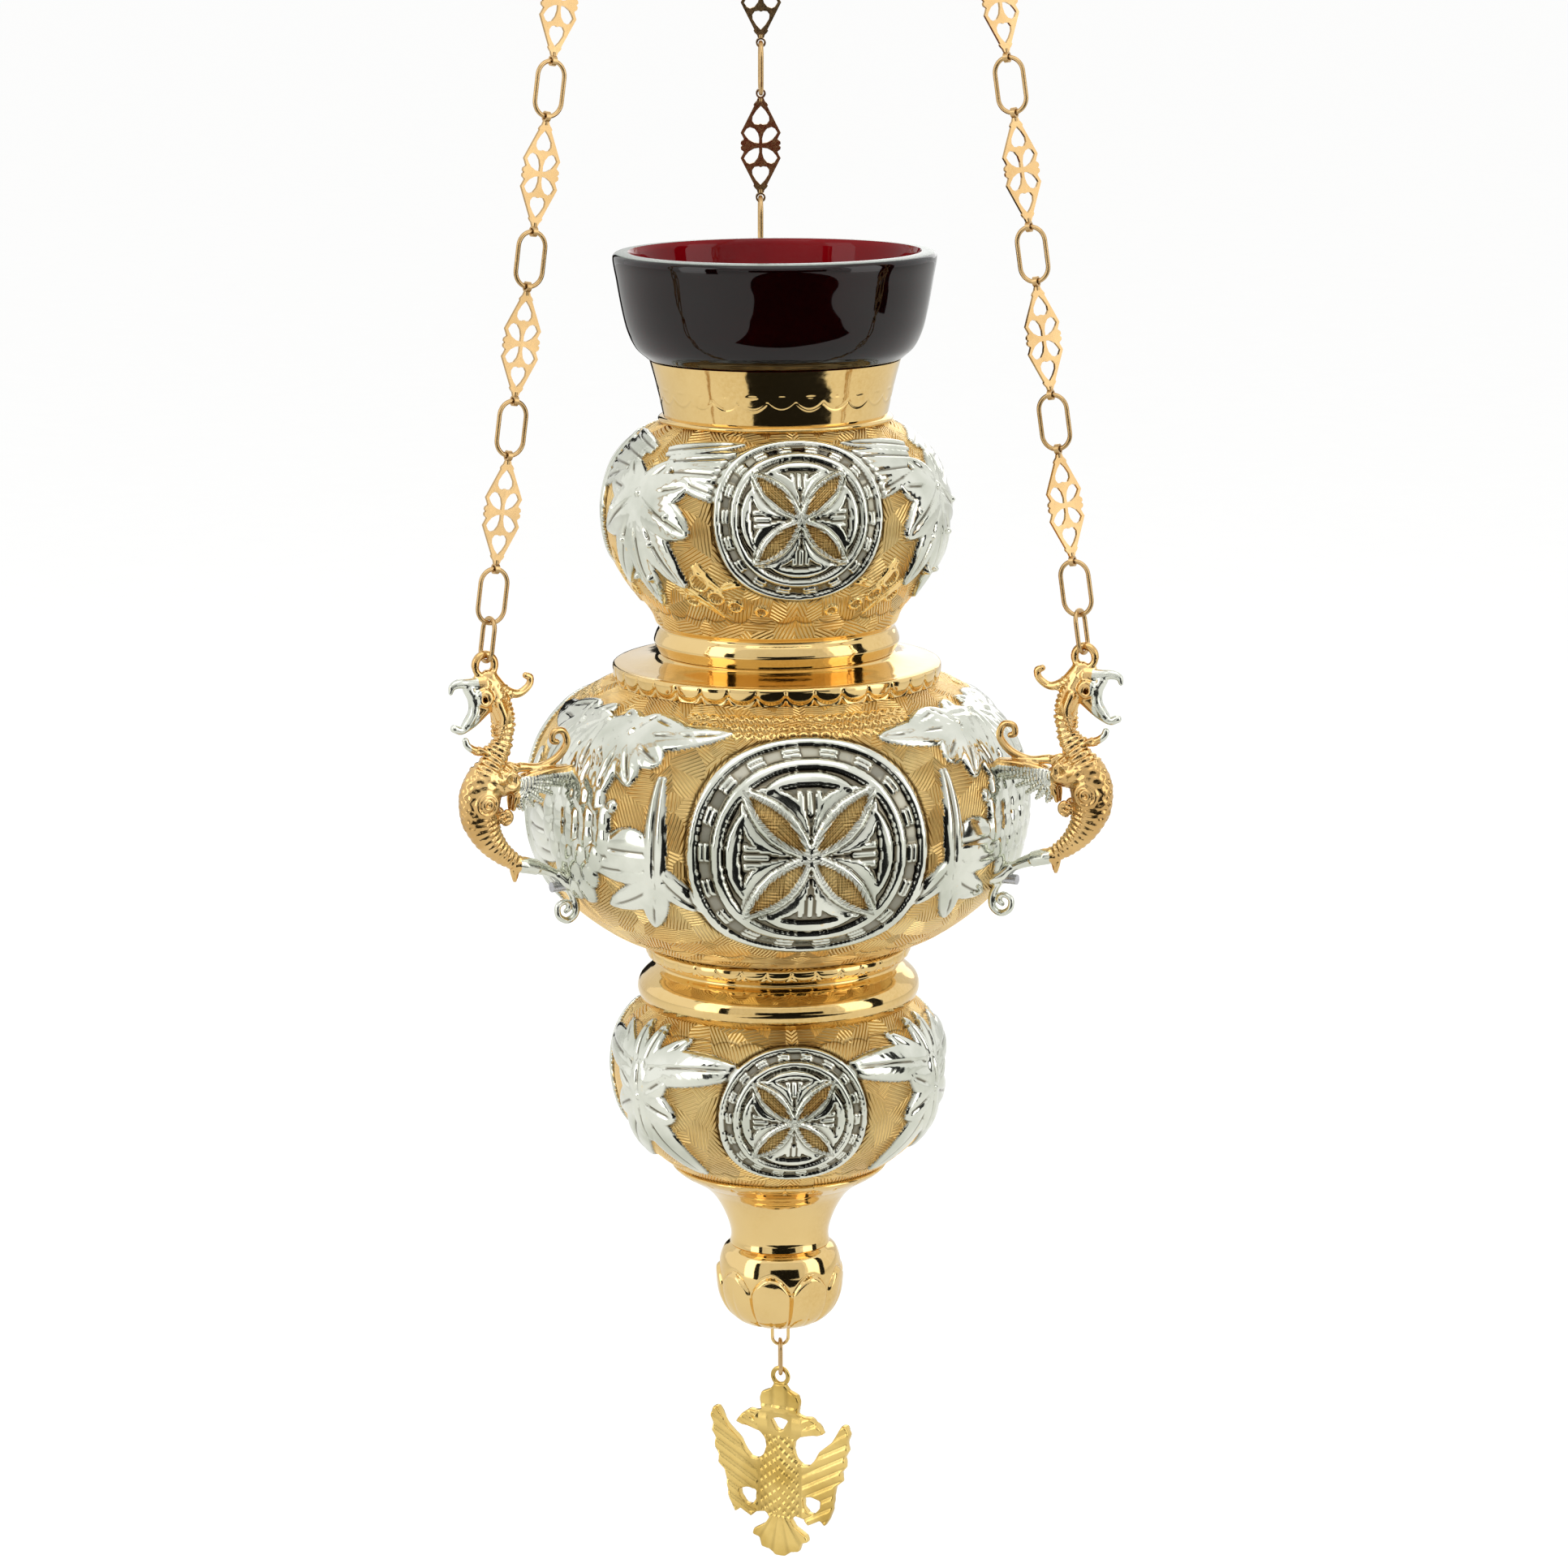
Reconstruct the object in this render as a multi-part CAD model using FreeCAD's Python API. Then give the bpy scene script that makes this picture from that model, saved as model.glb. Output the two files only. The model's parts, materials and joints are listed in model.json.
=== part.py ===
"""Hanging sanctuary lamp: a stack of spun brass shells on a tie rod, three cast dragon
handles, three filigree chains gathered at a crown, a lift-out glass cup and a hanging
double-eagle pendant.

Units are millimetres. The origin is the centre of the hanging ring's bore, +Z is up and
the lamp hangs below it. The bore runs along Y. Heights written in the profiles are
measured from the cup's rim, and lamp_z() turns them into the row frame.
"""
import FreeCAD
import Part
import math
import os

V = FreeCAD.Vector
Z_AXIS = V(0, 0, 1)

# ---- driving dimensions ---------------------------------------------------------------
RIM_DROP = 535.5            # hanging ring's centre to the cup's rim
SHEET = 1.2                 # thickness of the spun shells
ROD_R = 3.0                 # M6 tie rod
ROD_HOLE_R = 3.2
THREAD_GAP = 0.03           # a male thread stands this far inside its hole

HANDLE_AZIMUTHS = {"right": -30.0, "back": 90.0, "left": 210.0}
LOOP_RADIUS = 98.5          # lamp axis to the centre of a handle's loop
LOOP_DROP = 112.0           # cup rim to the centre of a handle's loop
CROWN_EYE_RADIUS = 10.0     # lamp axis to the centre of a crown eye

WIRE_R = 0.65               # chain wire
LINK_LENGTH = 15.5          # oval link, between the wire centres of its ends
LINK_WIDTH = 8.6
CHAIN_PITCH = 47.6
FIRST_LINK = 19.8           # handle loop's centre to the first oval's centre
LINKS_PER_CHAIN = 13
PLATE_THICK = 0.8
EYELET_HOLE_R = 0.98
EYELET_R = 1.5
EYELET_WIDTH = 1.4
PLATE_TWIST = {"right": 62.0, "back": 90.0, "left": 4.0}   # each chain's plates lie turned in its links

LOOP_HOLE_R = 2.0           # handle loop
LOOP_WIRE_R = 1.15
SCREW_R = 1.5               # M3 handle screws
SCREW_HEIGHTS = (-146.5, -179.0)
HEAD_SEAT = 1.6             # a screw head's washer face to the inside of the curved wall, at its centre
BOSS_R = 2.7

PENDANT_YAW = -30.0         # the eagle hangs turned about its own loop
EAGLE_THICK = 2.2


def lamp_z(height):
    """Row-frame z of a height measured from the cup's rim."""
    return height - RIM_DROP


# ---- helpers --------------------------------------------------------------------------
def curve(points, close_to=None):
    """A smooth edge in the XZ plane through (radius, height) points."""
    spline = Part.BSplineCurve()
    spline.interpolate([V(r, 0, lamp_z(h)) for r, h in points])
    return spline


def offset_points(points, thickness):
    """The same outline moved inwards by the sheet's thickness, with level ends."""
    spline = curve(points)
    moved = []
    for r, h in points:
        u = spline.parameter(V(r, 0, lamp_z(h)))
        tangent = spline.tangent(u)[0]
        normal = V(tangent.z, 0, -tangent.x)
        if normal.x > 0:
            normal = -normal
        moved.append((r + normal.x * thickness, h + normal.z * thickness))
    first, last = points[0], points[-1]
    moved[0] = (first[0] - thickness * 1.3, first[1])
    moved[-1] = (last[0] - thickness * 1.3, last[1])
    return moved


def revolve(edges):
    face = Part.Face(Part.Wire(Part.__sortEdges__(edges)))
    return face.revolve(V(0, 0, 0), Z_AXIS, 360)


def spun(points, thickness=SHEET):
    """A shell of revolution whose outside passes through the points."""
    inner = offset_points(points, thickness)
    outer_edge = curve(points).toShape()
    inner_edge = curve(inner).toShape()
    ends = [
        Part.makeLine(V(a[0], 0, lamp_z(a[1])), V(b[0], 0, lamp_z(b[1])))
        for a, b in ((points[0], inner[0]), (points[-1], inner[-1]))
    ]
    return revolve([outer_edge, inner_edge] + ends)


def turned(points):
    """A solid of revolution from a straight-sided (radius, height) outline."""
    corners = [V(r, 0, lamp_z(h)) for r, h in points]
    return revolve([Part.makeLine(a, b) for a, b in zip(corners, corners[1:] + corners[:1])])


def annulus(inner_r, outer_r, top, bottom):
    return turned([(inner_r, top), (outer_r, top), (outer_r, bottom), (inner_r, bottom)])


def filled(points):
    """Everything inside an outer outline, used to trim what meets it."""
    first, last = points[0], points[-1]
    corners = [
        V(last[0], 0, lamp_z(last[1])),
        V(0, 0, lamp_z(last[1])),
        V(0, 0, lamp_z(first[1])),
        V(first[0], 0, lamp_z(first[1])),
    ]
    return revolve([curve(points).toShape()] + [Part.makeLine(a, b) for a, b in zip(corners, corners[1:])])


def fused(shapes):
    return shapes[0].multiFuse(shapes[1:]).removeSplitter()


def outline_radius(points, height):
    """Outer radius of a spun shell at a height."""
    line = Part.makeLine(V(0, 0, lamp_z(height)), V(200, 0, lamp_z(height)))
    distance, pairs, _ = curve(points).toShape().distToShape(line)
    return pairs[0][0].x


def torus(major, minor, centre, axis):
    return Part.makeTorus(major, minor, centre, axis)


def oval_link(length, width, wire_r):
    """A stadium of wire in the XZ plane, centred on the origin and long along Z."""
    bend = width / 2
    straight = length / 2 - bend
    sides = [V(-bend, 0, -straight), V(-bend, 0, straight), V(bend, 0, straight), V(bend, 0, -straight)]
    path = Part.Wire(
        [
            Part.makeLine(sides[0], sides[1]),
            Part.Arc(sides[1], V(0, 0, length / 2), sides[2]).toShape(),
            Part.makeLine(sides[2], sides[3]),
            Part.Arc(sides[3], V(0, 0, -length / 2), sides[0]).toShape(),
        ]
    )
    section = Part.Wire([Part.makeCircle(wire_r, V(-bend, 0, 0), Z_AXIS)])
    quarter = Part.Wire([Part.makeLine(V(-bend, 0, 0), sides[1])] + path.Edges[1:3] + [path.Edges[3]]
                        + [Part.makeLine(sides[0], V(-bend, 0, 0))])
    pipe = quarter.makePipeShell([section], True, False)
    return pipe


def placed(shape, placement):
    copy = shape.copy()
    copy.Placement = placement.multiply(copy.Placement)
    return copy


def about_z(shape, degrees):
    return placed(shape, FreeCAD.Placement(V(0, 0, 0), FreeCAD.Rotation(Z_AXIS, degrees)))


# ---- the spun body, from the collar down to the stem ------------------------------------
COLLAR_TOP, COLLAR_FOOT = -31.2, -49.0
UPPER_BULB = [(33.2, -49.0), (40.6, -54.2), (47.2, -62.2), (50.0, -74.5), (48.2, -87.0),
              (42.4, -97.3), (37.2, -104.2), (35.5, -108.0)]
WAIST = [(35.5, -108.0), (34.6, -109.8), (35.7, -111.6), (36.1, -114.0), (35.4, -116.2), (34.6, -117.0)]
MIDDLE_BULB = [(47.6, -125.6), (55.6, -129.2), (62.8, -134.4), (69.6, -143.2), (73.0, -154.0),
               (73.5, -164.0), (72.2, -174.0), (68.2, -183.6), (61.2, -191.4), (50.2, -199.4), (38.2, -204.5)]
LOWER_MOULDING = [(36.9, -209.0), (36.2, -210.6), (38.2, -212.3), (41.2, -215.2), (42.0, -218.2),
                  (41.0, -221.2), (40.0, -222.5)]
LOWER_BULB = [(40.0, -222.5), (44.4, -226.4), (47.8, -232.2), (49.2, -239.2), (48.9, -247.4),
              (46.4, -256.6), (41.0, -264.6), (34.6, -270.2), (31.5, -272.0)]
STEM = [(25.0, -277.7), (20.6, -281.6), (17.5, -286.3), (15.4, -291.4), (14.7, -295.0), (15.0, -297.8)]
KNOB = [(14.8, -297.8), (17.4, -300.0), (18.9, -304.0), (19.1, -308.6), (18.2, -314.4), (15.0, -319.6),
        (9.8, -322.8)]


def collar():
    wall = turned([(36.6, COLLAR_TOP), (32.7, -47.2), (34.2, -48.0), (34.0, COLLAR_FOOT),
                   (31.6, COLLAR_FOOT), (31.6, -46.6), (35.4, COLLAR_TOP)])
    return wall


def upper_bulb():
    lip = annulus(27.0, 34.6, -106.8, -108.0)
    return fused([spun(UPPER_BULB), lip])


def shoulder_flange():
    return turned([(34.6, -117.0), (36.4, -118.4), (39.2, -119.2), (43.4, -119.8), (48.0, -120.3),
                   (48.5, -120.9), (47.7, -125.6), (46.5, -125.6), (47.0, -121.7), (43.0, -121.1),
                   (38.8, -120.5), (35.6, -119.6), (30.0, -119.2), (30.0, -117.0)])


def screw_holes():
    """Clearance holes for the handle screws through the middle bulb's wall."""
    drills = []
    for azimuth in HANDLE_AZIMUTHS.values():
        for height in SCREW_HEIGHTS:
            drill = Part.makeCylinder(SCREW_R + 0.1, 20, V(62, 0, lamp_z(height)), V(1, 0, 0))
            drills.append(about_z(drill, azimuth))
    return drills


def middle_bulb():
    lips = [annulus(40.0, 46.4, -125.6, -126.8), annulus(29.0, 37.4, -203.3, -204.5)]
    shell = fused([spun(MIDDLE_BULB)] + lips)
    for drill in screw_holes():
        shell = shell.cut(drill)
    return shell


def scalloped_ring():
    return turned([(38.2, -204.5), (39.3, -205.2), (38.9, -208.2), (37.4, -209.0), (32.0, -209.0),
                   (32.0, -204.5)])


def lower_moulding():
    return fused([spun(LOWER_MOULDING), annulus(29.0, 36.0, -209.0, -210.2)])


def lower_bulb():
    lips = [annulus(30.0, 39.0, -222.5, -223.7), annulus(19.0, 30.4, -270.8, -272.0)]
    return fused([spun(LOWER_BULB)] + lips)


def base_ring():
    return turned([(31.5, -272.0), (32.3, -272.9), (29.2, -275.2), (25.4, -277.7), (18.0, -277.7),
                   (18.0, -272.0)])


def stem():
    return fused([spun(STEM, 1.4), annulus(16.0, 24.0, -277.7, -278.9)])


def knob():
    """Hollow finial with a threaded boss at its top and two small holes for the wire eye."""
    foot = -323.8
    last = KNOB[-1]
    corners = [V(last[0], 0, lamp_z(last[1])), V(0, 0, lamp_z(foot)), V(0, 0, lamp_z(KNOB[0][1])),
               V(KNOB[0][0], 0, lamp_z(KNOB[0][1]))]
    body = revolve([curve(KNOB).toShape()] + [Part.makeLine(a, b) for a, b in zip(corners, corners[1:])])
    cavity = turned([(0, -304.0), (13.0, -304.0), (15.6, -308.0), (14.6, -314.0), (10.0, -318.0), (0, -319.0)])
    body = body.cut(cavity)
    body = body.cut(Part.makeCylinder(ROD_R + THREAD_GAP, 8, V(0, 0, lamp_z(-305.0)), Z_AXIS))
    for leg in eye_legs(EYE_WIRE_R + THREAD_GAP):
        body = body.cut(leg)
    return body


# ---- what holds the stack together -------------------------------------------------------
ROD_TOP, ROD_FOOT = -97.5, -303.6


def tie_rod():
    return Part.makeCylinder(ROD_R, ROD_TOP - ROD_FOOT, V(0, 0, lamp_z(ROD_FOOT)), Z_AXIS)


def hex_nut(across_flats, hole_r, top, bottom):
    corner = across_flats / math.sqrt(3)
    points = [V(corner * math.cos(math.radians(60 * i)), corner * math.sin(math.radians(60 * i)),
                lamp_z(bottom)) for i in range(7)]
    body = Part.Face(Part.makePolygon(points)).extrude(V(0, 0, top - bottom))
    return body.cut(Part.makeCylinder(hole_r, 40, V(0, 0, lamp_z(bottom) - 10), Z_AXIS))


# ---- glass cup -----------------------------------------------------------------------
def glass_cup():
    outside = [(42.6, 0.0), (46.2, -0.3), (47.0, -1.6), (46.0, -8.0), (44.6, -16.0), (43.0, -22.6),
               (41.0, -27.0), (37.8, -30.2), (36.9, -31.0), (32.6, -31.0), (30.2, -46.0), (27.6, -76.0),
               (25.4, -79.6), (23.0, -80.4), (0.0, -80.4)]
    inside = [(0.0, -75.6), (21.8, -75.6), (23.6, -73.6), (26.2, -46.0), (28.6, -32.4), (36.0, -25.6),
              (38.6, -20.0), (41.4, -4.0)]
    return turned(outside + inside)


# ---- chains --------------------------------------------------------------------------
def chain_frame(name):
    """Placement of a chain: local Z runs up the chain from the handle loop's centre."""
    rise = math.sqrt(chain_length() ** 2 - (LOOP_RADIUS - CROWN_EYE_RADIUS) ** 2)
    lean = math.degrees(math.atan2(LOOP_RADIUS - CROWN_EYE_RADIUS, rise))
    tilt = FreeCAD.Placement(V(LOOP_RADIUS, 0, lamp_z(-LOOP_DROP)), FreeCAD.Rotation(V(0, 1, 0), -lean))
    turn = FreeCAD.Placement(V(0, 0, 0), FreeCAD.Rotation(Z_AXIS, HANDLE_AZIMUTHS[name]))
    return turn.multiply(tilt)


CROWN_EYE_MAJOR, CROWN_EYE_MINOR = 2.3, 0.8
SHANK_R = 0.9


def last_link_top():
    return FIRST_LINK + CHAIN_PITCH * (LINKS_PER_CHAIN - 1) + LINK_LENGTH / 2


def chain_length():
    """Handle loop's centre to crown eye's centre, along the chain."""
    return last_link_top() - WIRE_R - CROWN_EYE_MINOR - 0.05 + CROWN_EYE_MAJOR


def chain_links(name):
    link = oval_link(LINK_LENGTH, LINK_WIDTH, WIRE_R)
    frame = chain_frame(name)
    centres = [FIRST_LINK + CHAIN_PITCH * i for i in range(LINKS_PER_CHAIN)]
    return Part.makeCompound(
        [placed(link, frame.multiply(FreeCAD.Placement(V(0, 0, s), FreeCAD.Rotation()))) for s in centres])


def connecting_link(name):
    """The link between a handle's loop and the first oval, at right angles to both."""
    foot = LOOP_HOLE_R - WIRE_R - 0.15
    top = FIRST_LINK - LINK_LENGTH / 2 + 2 * WIRE_R + 0.1
    link = oval_link(top - foot, 6.4, WIRE_R)
    across = FreeCAD.Placement(V(0, 0, (top + foot) / 2), FreeCAD.Rotation(Z_AXIS, 90))
    return placed(link, chain_frame(name).multiply(across))


def plate_outline():
    """Half-width of the filigree plate at heights from its centre."""
    return [(0.0, 5.6), (0.5, 6.1), (1.2, 6.0), (1.9, 5.1), (3.0, 5.6), (3.9, 6.1), (12.1, 2.0), (12.5, 2.2),
            (13.1, 1.8), (13.7, 1.2), (14.6, 0.9)]


def filigree_plate():
    """A pierced diamond plate in the XZ plane with an eyelet at each end."""
    half = plate_outline()
    right = [(w, v) for v, w in half]
    loop = right + [(-w, v) for w, v in reversed(right)]
    loop += [(-w, -v) for w, v in right[1:]] + [(w, -v) for w, v in reversed(right[1:])]
    corners = [V(u, -PLATE_THICK / 2, v) for u, v in loop]
    plate = Part.Face(Part.makePolygon(corners + corners[:1])).extrude(V(0, PLATE_THICK, 0))
    cutters = []
    for side in (1, -1):
        drop = [(0.0, 12.2), (1.4, 10.7), (2.5, 8.9), (2.6, 7.6), (1.9, 6.6), (0.7, 6.4), (0.0, 6.7),
                (-0.7, 6.4), (-1.9, 6.6), (-2.6, 7.6), (-2.5, 8.9), (-1.4, 10.7)]
        shapes = [drop]
        for hand in (1, -1):
            petal = [(0.5, 0.7), (2.0, 0.9), (3.6, 1.8), (4.6, 3.0), (5.1, 3.9), (4.3, 5.2), (3.3, 5.7),
                     (1.9, 5.2), (0.9, 3.9), (0.45, 2.2)]
            shapes.append([(hand * u, v) for u, v in petal])
        for shape in shapes:
            ring = [V(u, -PLATE_THICK, side * v) for u, v in shape]
            cutters.append(Part.Face(Part.makePolygon(ring + ring[:1])).extrude(V(0, 2 * PLATE_THICK, 0)))
    for cutter in cutters:
        plate = plate.cut(cutter)
    return plate


def plate_with_eyelets(twist):
    reach = (CHAIN_PITCH - LINK_LENGTH) / 2
    parts = [about_z(filigree_plate(), twist)]
    for side in (1, -1):
        centre = V(-EYELET_WIDTH / 2, 0, side * reach)
        eyelet = Part.makeCylinder(EYELET_R, EYELET_WIDTH, centre, V(1, 0, 0))
        foot = 13.6
        neck = Part.makeCylinder(0.62, reach - foot, V(0, 0, foot if side > 0 else -reach), Z_AXIS)
        parts += [eyelet, neck]
    plate = fused(parts)
    for side in (1, -1):
        centre = V(-EYELET_WIDTH, 0, side * reach)
        plate = plate.cut(Part.makeCylinder(EYELET_HOLE_R, 2 * EYELET_WIDTH, centre, V(1, 0, 0)))
    return plate


def chain_plates(name):
    plate = plate_with_eyelets(PLATE_TWIST[name])
    frame = chain_frame(name)
    centres = [FIRST_LINK + CHAIN_PITCH * (i + 0.5) for i in range(LINKS_PER_CHAIN - 1)]
    return Part.makeCompound(
        [placed(plate, frame.multiply(FreeCAD.Placement(V(0, 0, s), FreeCAD.Rotation()))) for s in centres])


# ---- crown and hanging ring ------------------------------------------------------------
CROWN_FLOOR = 485.0
CROWN_TOP = 495.0
BOLT_R = 2.0
BOLT_HOLE_R = 2.05
EYE_MAJOR, EYE_MINOR = 3.4, 1.2
LINK_WIRE_R = 1.1
PLAY = 0.3                   # gap between linked wires
BOLT_EYE = 502.5
SWIVEL_LINK_FOOT = BOLT_EYE + EYE_MAJOR - EYE_MINOR - LINK_WIRE_R - PLAY
SWIVEL_LINK_TOP = SWIVEL_LINK_FOOT + 16.0
LUG_EYE = SWIVEL_LINK_TOP - LINK_WIRE_R - EYE_MINOR - PLAY + EYE_MAJOR
RING_BORE_R, RING_OUTER_R, RING_THICK = 9.0, 12.5, 4.0


def crown_cap():
    cap = turned([(BOLT_HOLE_R, CROWN_FLOOR), (15.0, CROWN_FLOOR), (15.4, CROWN_FLOOR + 1.2), (14.6, CROWN_FLOOR + 3.2),
                  (12.4, CROWN_FLOOR + 5.6), (8.6, CROWN_FLOOR + 7.8), (5.0, CROWN_FLOOR + 8.8),
                  (4.4, CROWN_TOP), (BOLT_HOLE_R, CROWN_TOP)])
    hollow = turned([(4.2, CROWN_FLOOR + 1.6), (12.6, CROWN_FLOOR + 1.6), (11.2, CROWN_FLOOR + 4.6),
                     (7.6, CROWN_FLOOR + 6.4), (4.2, CROWN_FLOOR + 7.0)])
    cap = cap.cut(hollow)
    for name in HANDLE_AZIMUTHS:
        cap = cap.cut(eye_shank(name, SHANK_R + THREAD_GAP))
    return cap


def eye_shank(name, radius):
    foot = crown_eye_height() + CROWN_EYE_MAJOR - 0.3
    shank = Part.makeCylinder(radius, CROWN_FLOOR + 1.6 - foot, V(CROWN_EYE_RADIUS - 0.3, 0, lamp_z(foot)), Z_AXIS)
    return about_z(shank, HANDLE_AZIMUTHS[name])


def crown_eye_height():
    rise = math.sqrt(chain_length() ** 2 - (LOOP_RADIUS - CROWN_EYE_RADIUS) ** 2)
    return rise - LOOP_DROP


def crown_eye(name):
    ring = torus(CROWN_EYE_MAJOR, CROWN_EYE_MINOR, V(0, 0, chain_length()), V(1, 0, 0))
    return fused([placed(ring, chain_frame(name)), eye_shank(name, SHANK_R)])


def eye_bolt():
    shaft = Part.makeCylinder(BOLT_R, 499.4 - 481.0, V(0, 0, lamp_z(481.0)), Z_AXIS)
    shoulder = Part.makeCylinder(3.6, 1.8, V(0, 0, lamp_z(CROWN_TOP + 0.2)), Z_AXIS)
    eye = torus(EYE_MAJOR, EYE_MINOR, V(0, 0, lamp_z(BOLT_EYE)), V(0, 1, 0))
    return fused([shaft, shoulder, eye])


def swivel_link():
    link = oval_link(SWIVEL_LINK_TOP - SWIVEL_LINK_FOOT, 6.2, LINK_WIRE_R)
    middle = lamp_z((SWIVEL_LINK_TOP + SWIVEL_LINK_FOOT) / 2)
    return placed(link, FreeCAD.Placement(V(0, 0, middle), FreeCAD.Rotation(Z_AXIS, 90)))


def hanging_ring():
    """A flat cast ring whose bore takes the ceiling hook, with a small lug eye below it."""
    start = V(0, -RING_THICK / 2, 0)
    ring = Part.makeCylinder(RING_OUTER_R, RING_THICK, start, V(0, 1, 0))
    lug = torus(EYE_MAJOR, EYE_MINOR, V(0, 0, lamp_z(LUG_EYE)), V(0, 1, 0))
    ring = fused([ring, lug])
    return ring.cut(Part.makeCylinder(RING_BORE_R, RING_THICK, start, V(0, 1, 0)))


# ---- dragon handle ---------------------------------------------------------------------
def horn(points, radii):
    """A tapering round member through (out, up) points about the loop's centre."""
    centres = [V(u, 0, w) for u, w in points]
    spline = Part.BSplineCurve()
    spline.interpolate(centres)
    rings = []
    for centre, radius in zip(centres, radii):
        tangent = spline.tangent(spline.parameter(centre))[0]
        rings.append(Part.Wire([Part.makeCircle(radius, centre, tangent)]))
    return [Part.makeLoft(rings, True)]


def dragon_parts():
    """The casting's members, each a point list and the radii along it."""
    neck_and_body = horn([(-1.2, -4.6), (-3.4, -10.0), (-5.0, -17.0), (-4.4, -24.6), (0.6, -31.6), (2.6, -39.0),
                          (1.8, -46.0), (-2.4, -52.8), (-8.6, -58.2)],
                         [2.9, 3.9, 3.2, 4.0, 5.8, 6.2, 5.0, 3.3, 2.4])
    snout = horn([(0.4, -6.6), (5.0, -6.6), (9.6, -4.2)], [3.4, 2.6, 1.3])
    jaw = horn([(0.0, -9.6), (4.6, -13.4), (9.8, -15.8)], [3.2, 2.4, 1.4])
    throat = horn([(-3.6, -21.6), (1.6, -23.8), (6.0, -22.2)], [2.4, 1.8, 1.3])
    crest = horn([(-2.4, -6.4), (-7.8, -9.2), (-12.4, -9.4), (-14.6, -6.8)], [2.8, 2.2, 1.5, 1.4])
    scroll = horn([(-5.0, -29.8), (-12.0, -31.4), (-19.0, -31.6), (-23.8, -28.4), (-24.0, -24.4), (-21.0, -23.4)],
                  [2.8, 2.2, 1.7, 1.6, 1.4, 1.2])
    tail = horn([(-6.6, -56.6), (-15.0, -60.4), (-22.0, -63.6), (-25.6, -68.0), (-27.0, -72.4)],
                [1.8, 2.4, 2.2, 1.8, 1.5])
    spur = horn([(-8.6, -59.0), (-8.4, -63.4)], [1.8, 0.8])
    return neck_and_body + snout + jaw + throat + crest + scroll + tail + spur


def handle(name):
    """One cast handle, trimmed to the bulb it is screwed to."""
    loop = torus(LOOP_HOLE_R + LOOP_WIRE_R, LOOP_WIRE_R, V(0, 0, 0), V(0, 1, 0))
    curl = torus(2.7, 1.4, V(-24.6, 0, -74.6), V(0, 1, 0))
    fan = [V(u, -1.2, w) for u, w in ((-3.0, -36.0), (-12.0, -33.0), (-27.2, -33.4), (-25.6, -36.8),
                                      (-19.0, -40.6), (-12.0, -42.6), (-4.0, -42.4))]
    wing = Part.Face(Part.makePolygon(fan + fan[:1])).extrude(V(0, 2.4, 0))
    bosses = []
    for height, reach in zip(SCREW_HEIGHTS, (12.0, 9.5)):
        x = outline_radius(MIDDLE_BULB, height) - LOOP_RADIUS - 2.0
        bosses.append(Part.makeCylinder(BOSS_R, reach, V(x, 0, height + LOOP_DROP), V(1, 0, 0)))
    casting = fused([loop] + dragon_parts() + [curl, wing] + bosses)
    stand = FreeCAD.Placement(V(LOOP_RADIUS, 0, lamp_z(-LOOP_DROP)), FreeCAD.Rotation())
    casting = placed(casting, stand).cut(filled(MIDDLE_BULB))
    for height in SCREW_HEIGHTS:
        casting = casting.cut(Part.makeCylinder(SCREW_R + THREAD_GAP, 16.0, V(62, 0, lamp_z(height)), V(1, 0, 0)))
    return about_z(casting, HANDLE_AZIMUTHS[name])


def handle_screws():
    """Six round-headed screws, driven from inside the bulb into the handles."""
    screws = []
    for azimuth in HANDLE_AZIMUTHS.values():
        for height in SCREW_HEIGHTS:
            wall = outline_radius(MIDDLE_BULB, height) - SHEET - HEAD_SEAT
            head = Part.makeCylinder(2.8, 1.8, V(wall - 1.8, 0, lamp_z(height)), V(1, 0, 0))
            shank = Part.makeCylinder(SCREW_R, 77.8 - wall + 0.6, V(wall - 0.6, 0, lamp_z(height)), V(1, 0, 0))
            screws.append(about_z(fused([head, shank]), azimuth))
    return Part.makeCompound(screws)


# ---- pendant ---------------------------------------------------------------------------
EYE_WIRE_R = 0.5
EYE_HALF_WIDTH = 2.4
EYE_FOOT = -330.8            # wire centre at the bottom of the knob's eye
PENDANT_WIRE_R = 0.6
PENDANT_LINK_TOP = EYE_FOOT + EYE_WIRE_R + PENDANT_WIRE_R + PLAY
PENDANT_LINK_FOOT = PENDANT_LINK_TOP - 10.6
EAGLE_LOOP_HOLE, EAGLE_LOOP_WIRE = 1.8, 0.75
EAGLE_LOOP = PENDANT_LINK_FOOT + PENDANT_WIRE_R + PLAY - EAGLE_LOOP_HOLE


def eye_legs(radius):
    """The eye's straight legs, which stand in the knob's foot."""
    foot = EYE_FOOT + EYE_HALF_WIDTH
    return [Part.makeCylinder(radius, -320.6 - foot, V(x, 0, lamp_z(foot)), Z_AXIS)
            for x in (-EYE_HALF_WIDTH, EYE_HALF_WIDTH)]


def pendant_eye():
    centre = V(0, 0, lamp_z(EYE_FOOT + EYE_HALF_WIDTH))
    bend = Part.makeTorus(EYE_HALF_WIDTH, EYE_WIRE_R, centre, V(0, 1, 0))
    above = Part.makeBox(20, 20, 20, V(-10, -10, centre.z))
    return fused([bend.cut(above)] + eye_legs(EYE_WIRE_R))


def pendant_link():
    link = oval_link(PENDANT_LINK_TOP - PENDANT_LINK_FOOT, 4.8, PENDANT_WIRE_R)
    middle = lamp_z((PENDANT_LINK_TOP + PENDANT_LINK_FOOT) / 2)
    return placed(link, FreeCAD.Placement(V(0, 0, middle), FreeCAD.Rotation(Z_AXIS, 90)))


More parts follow.
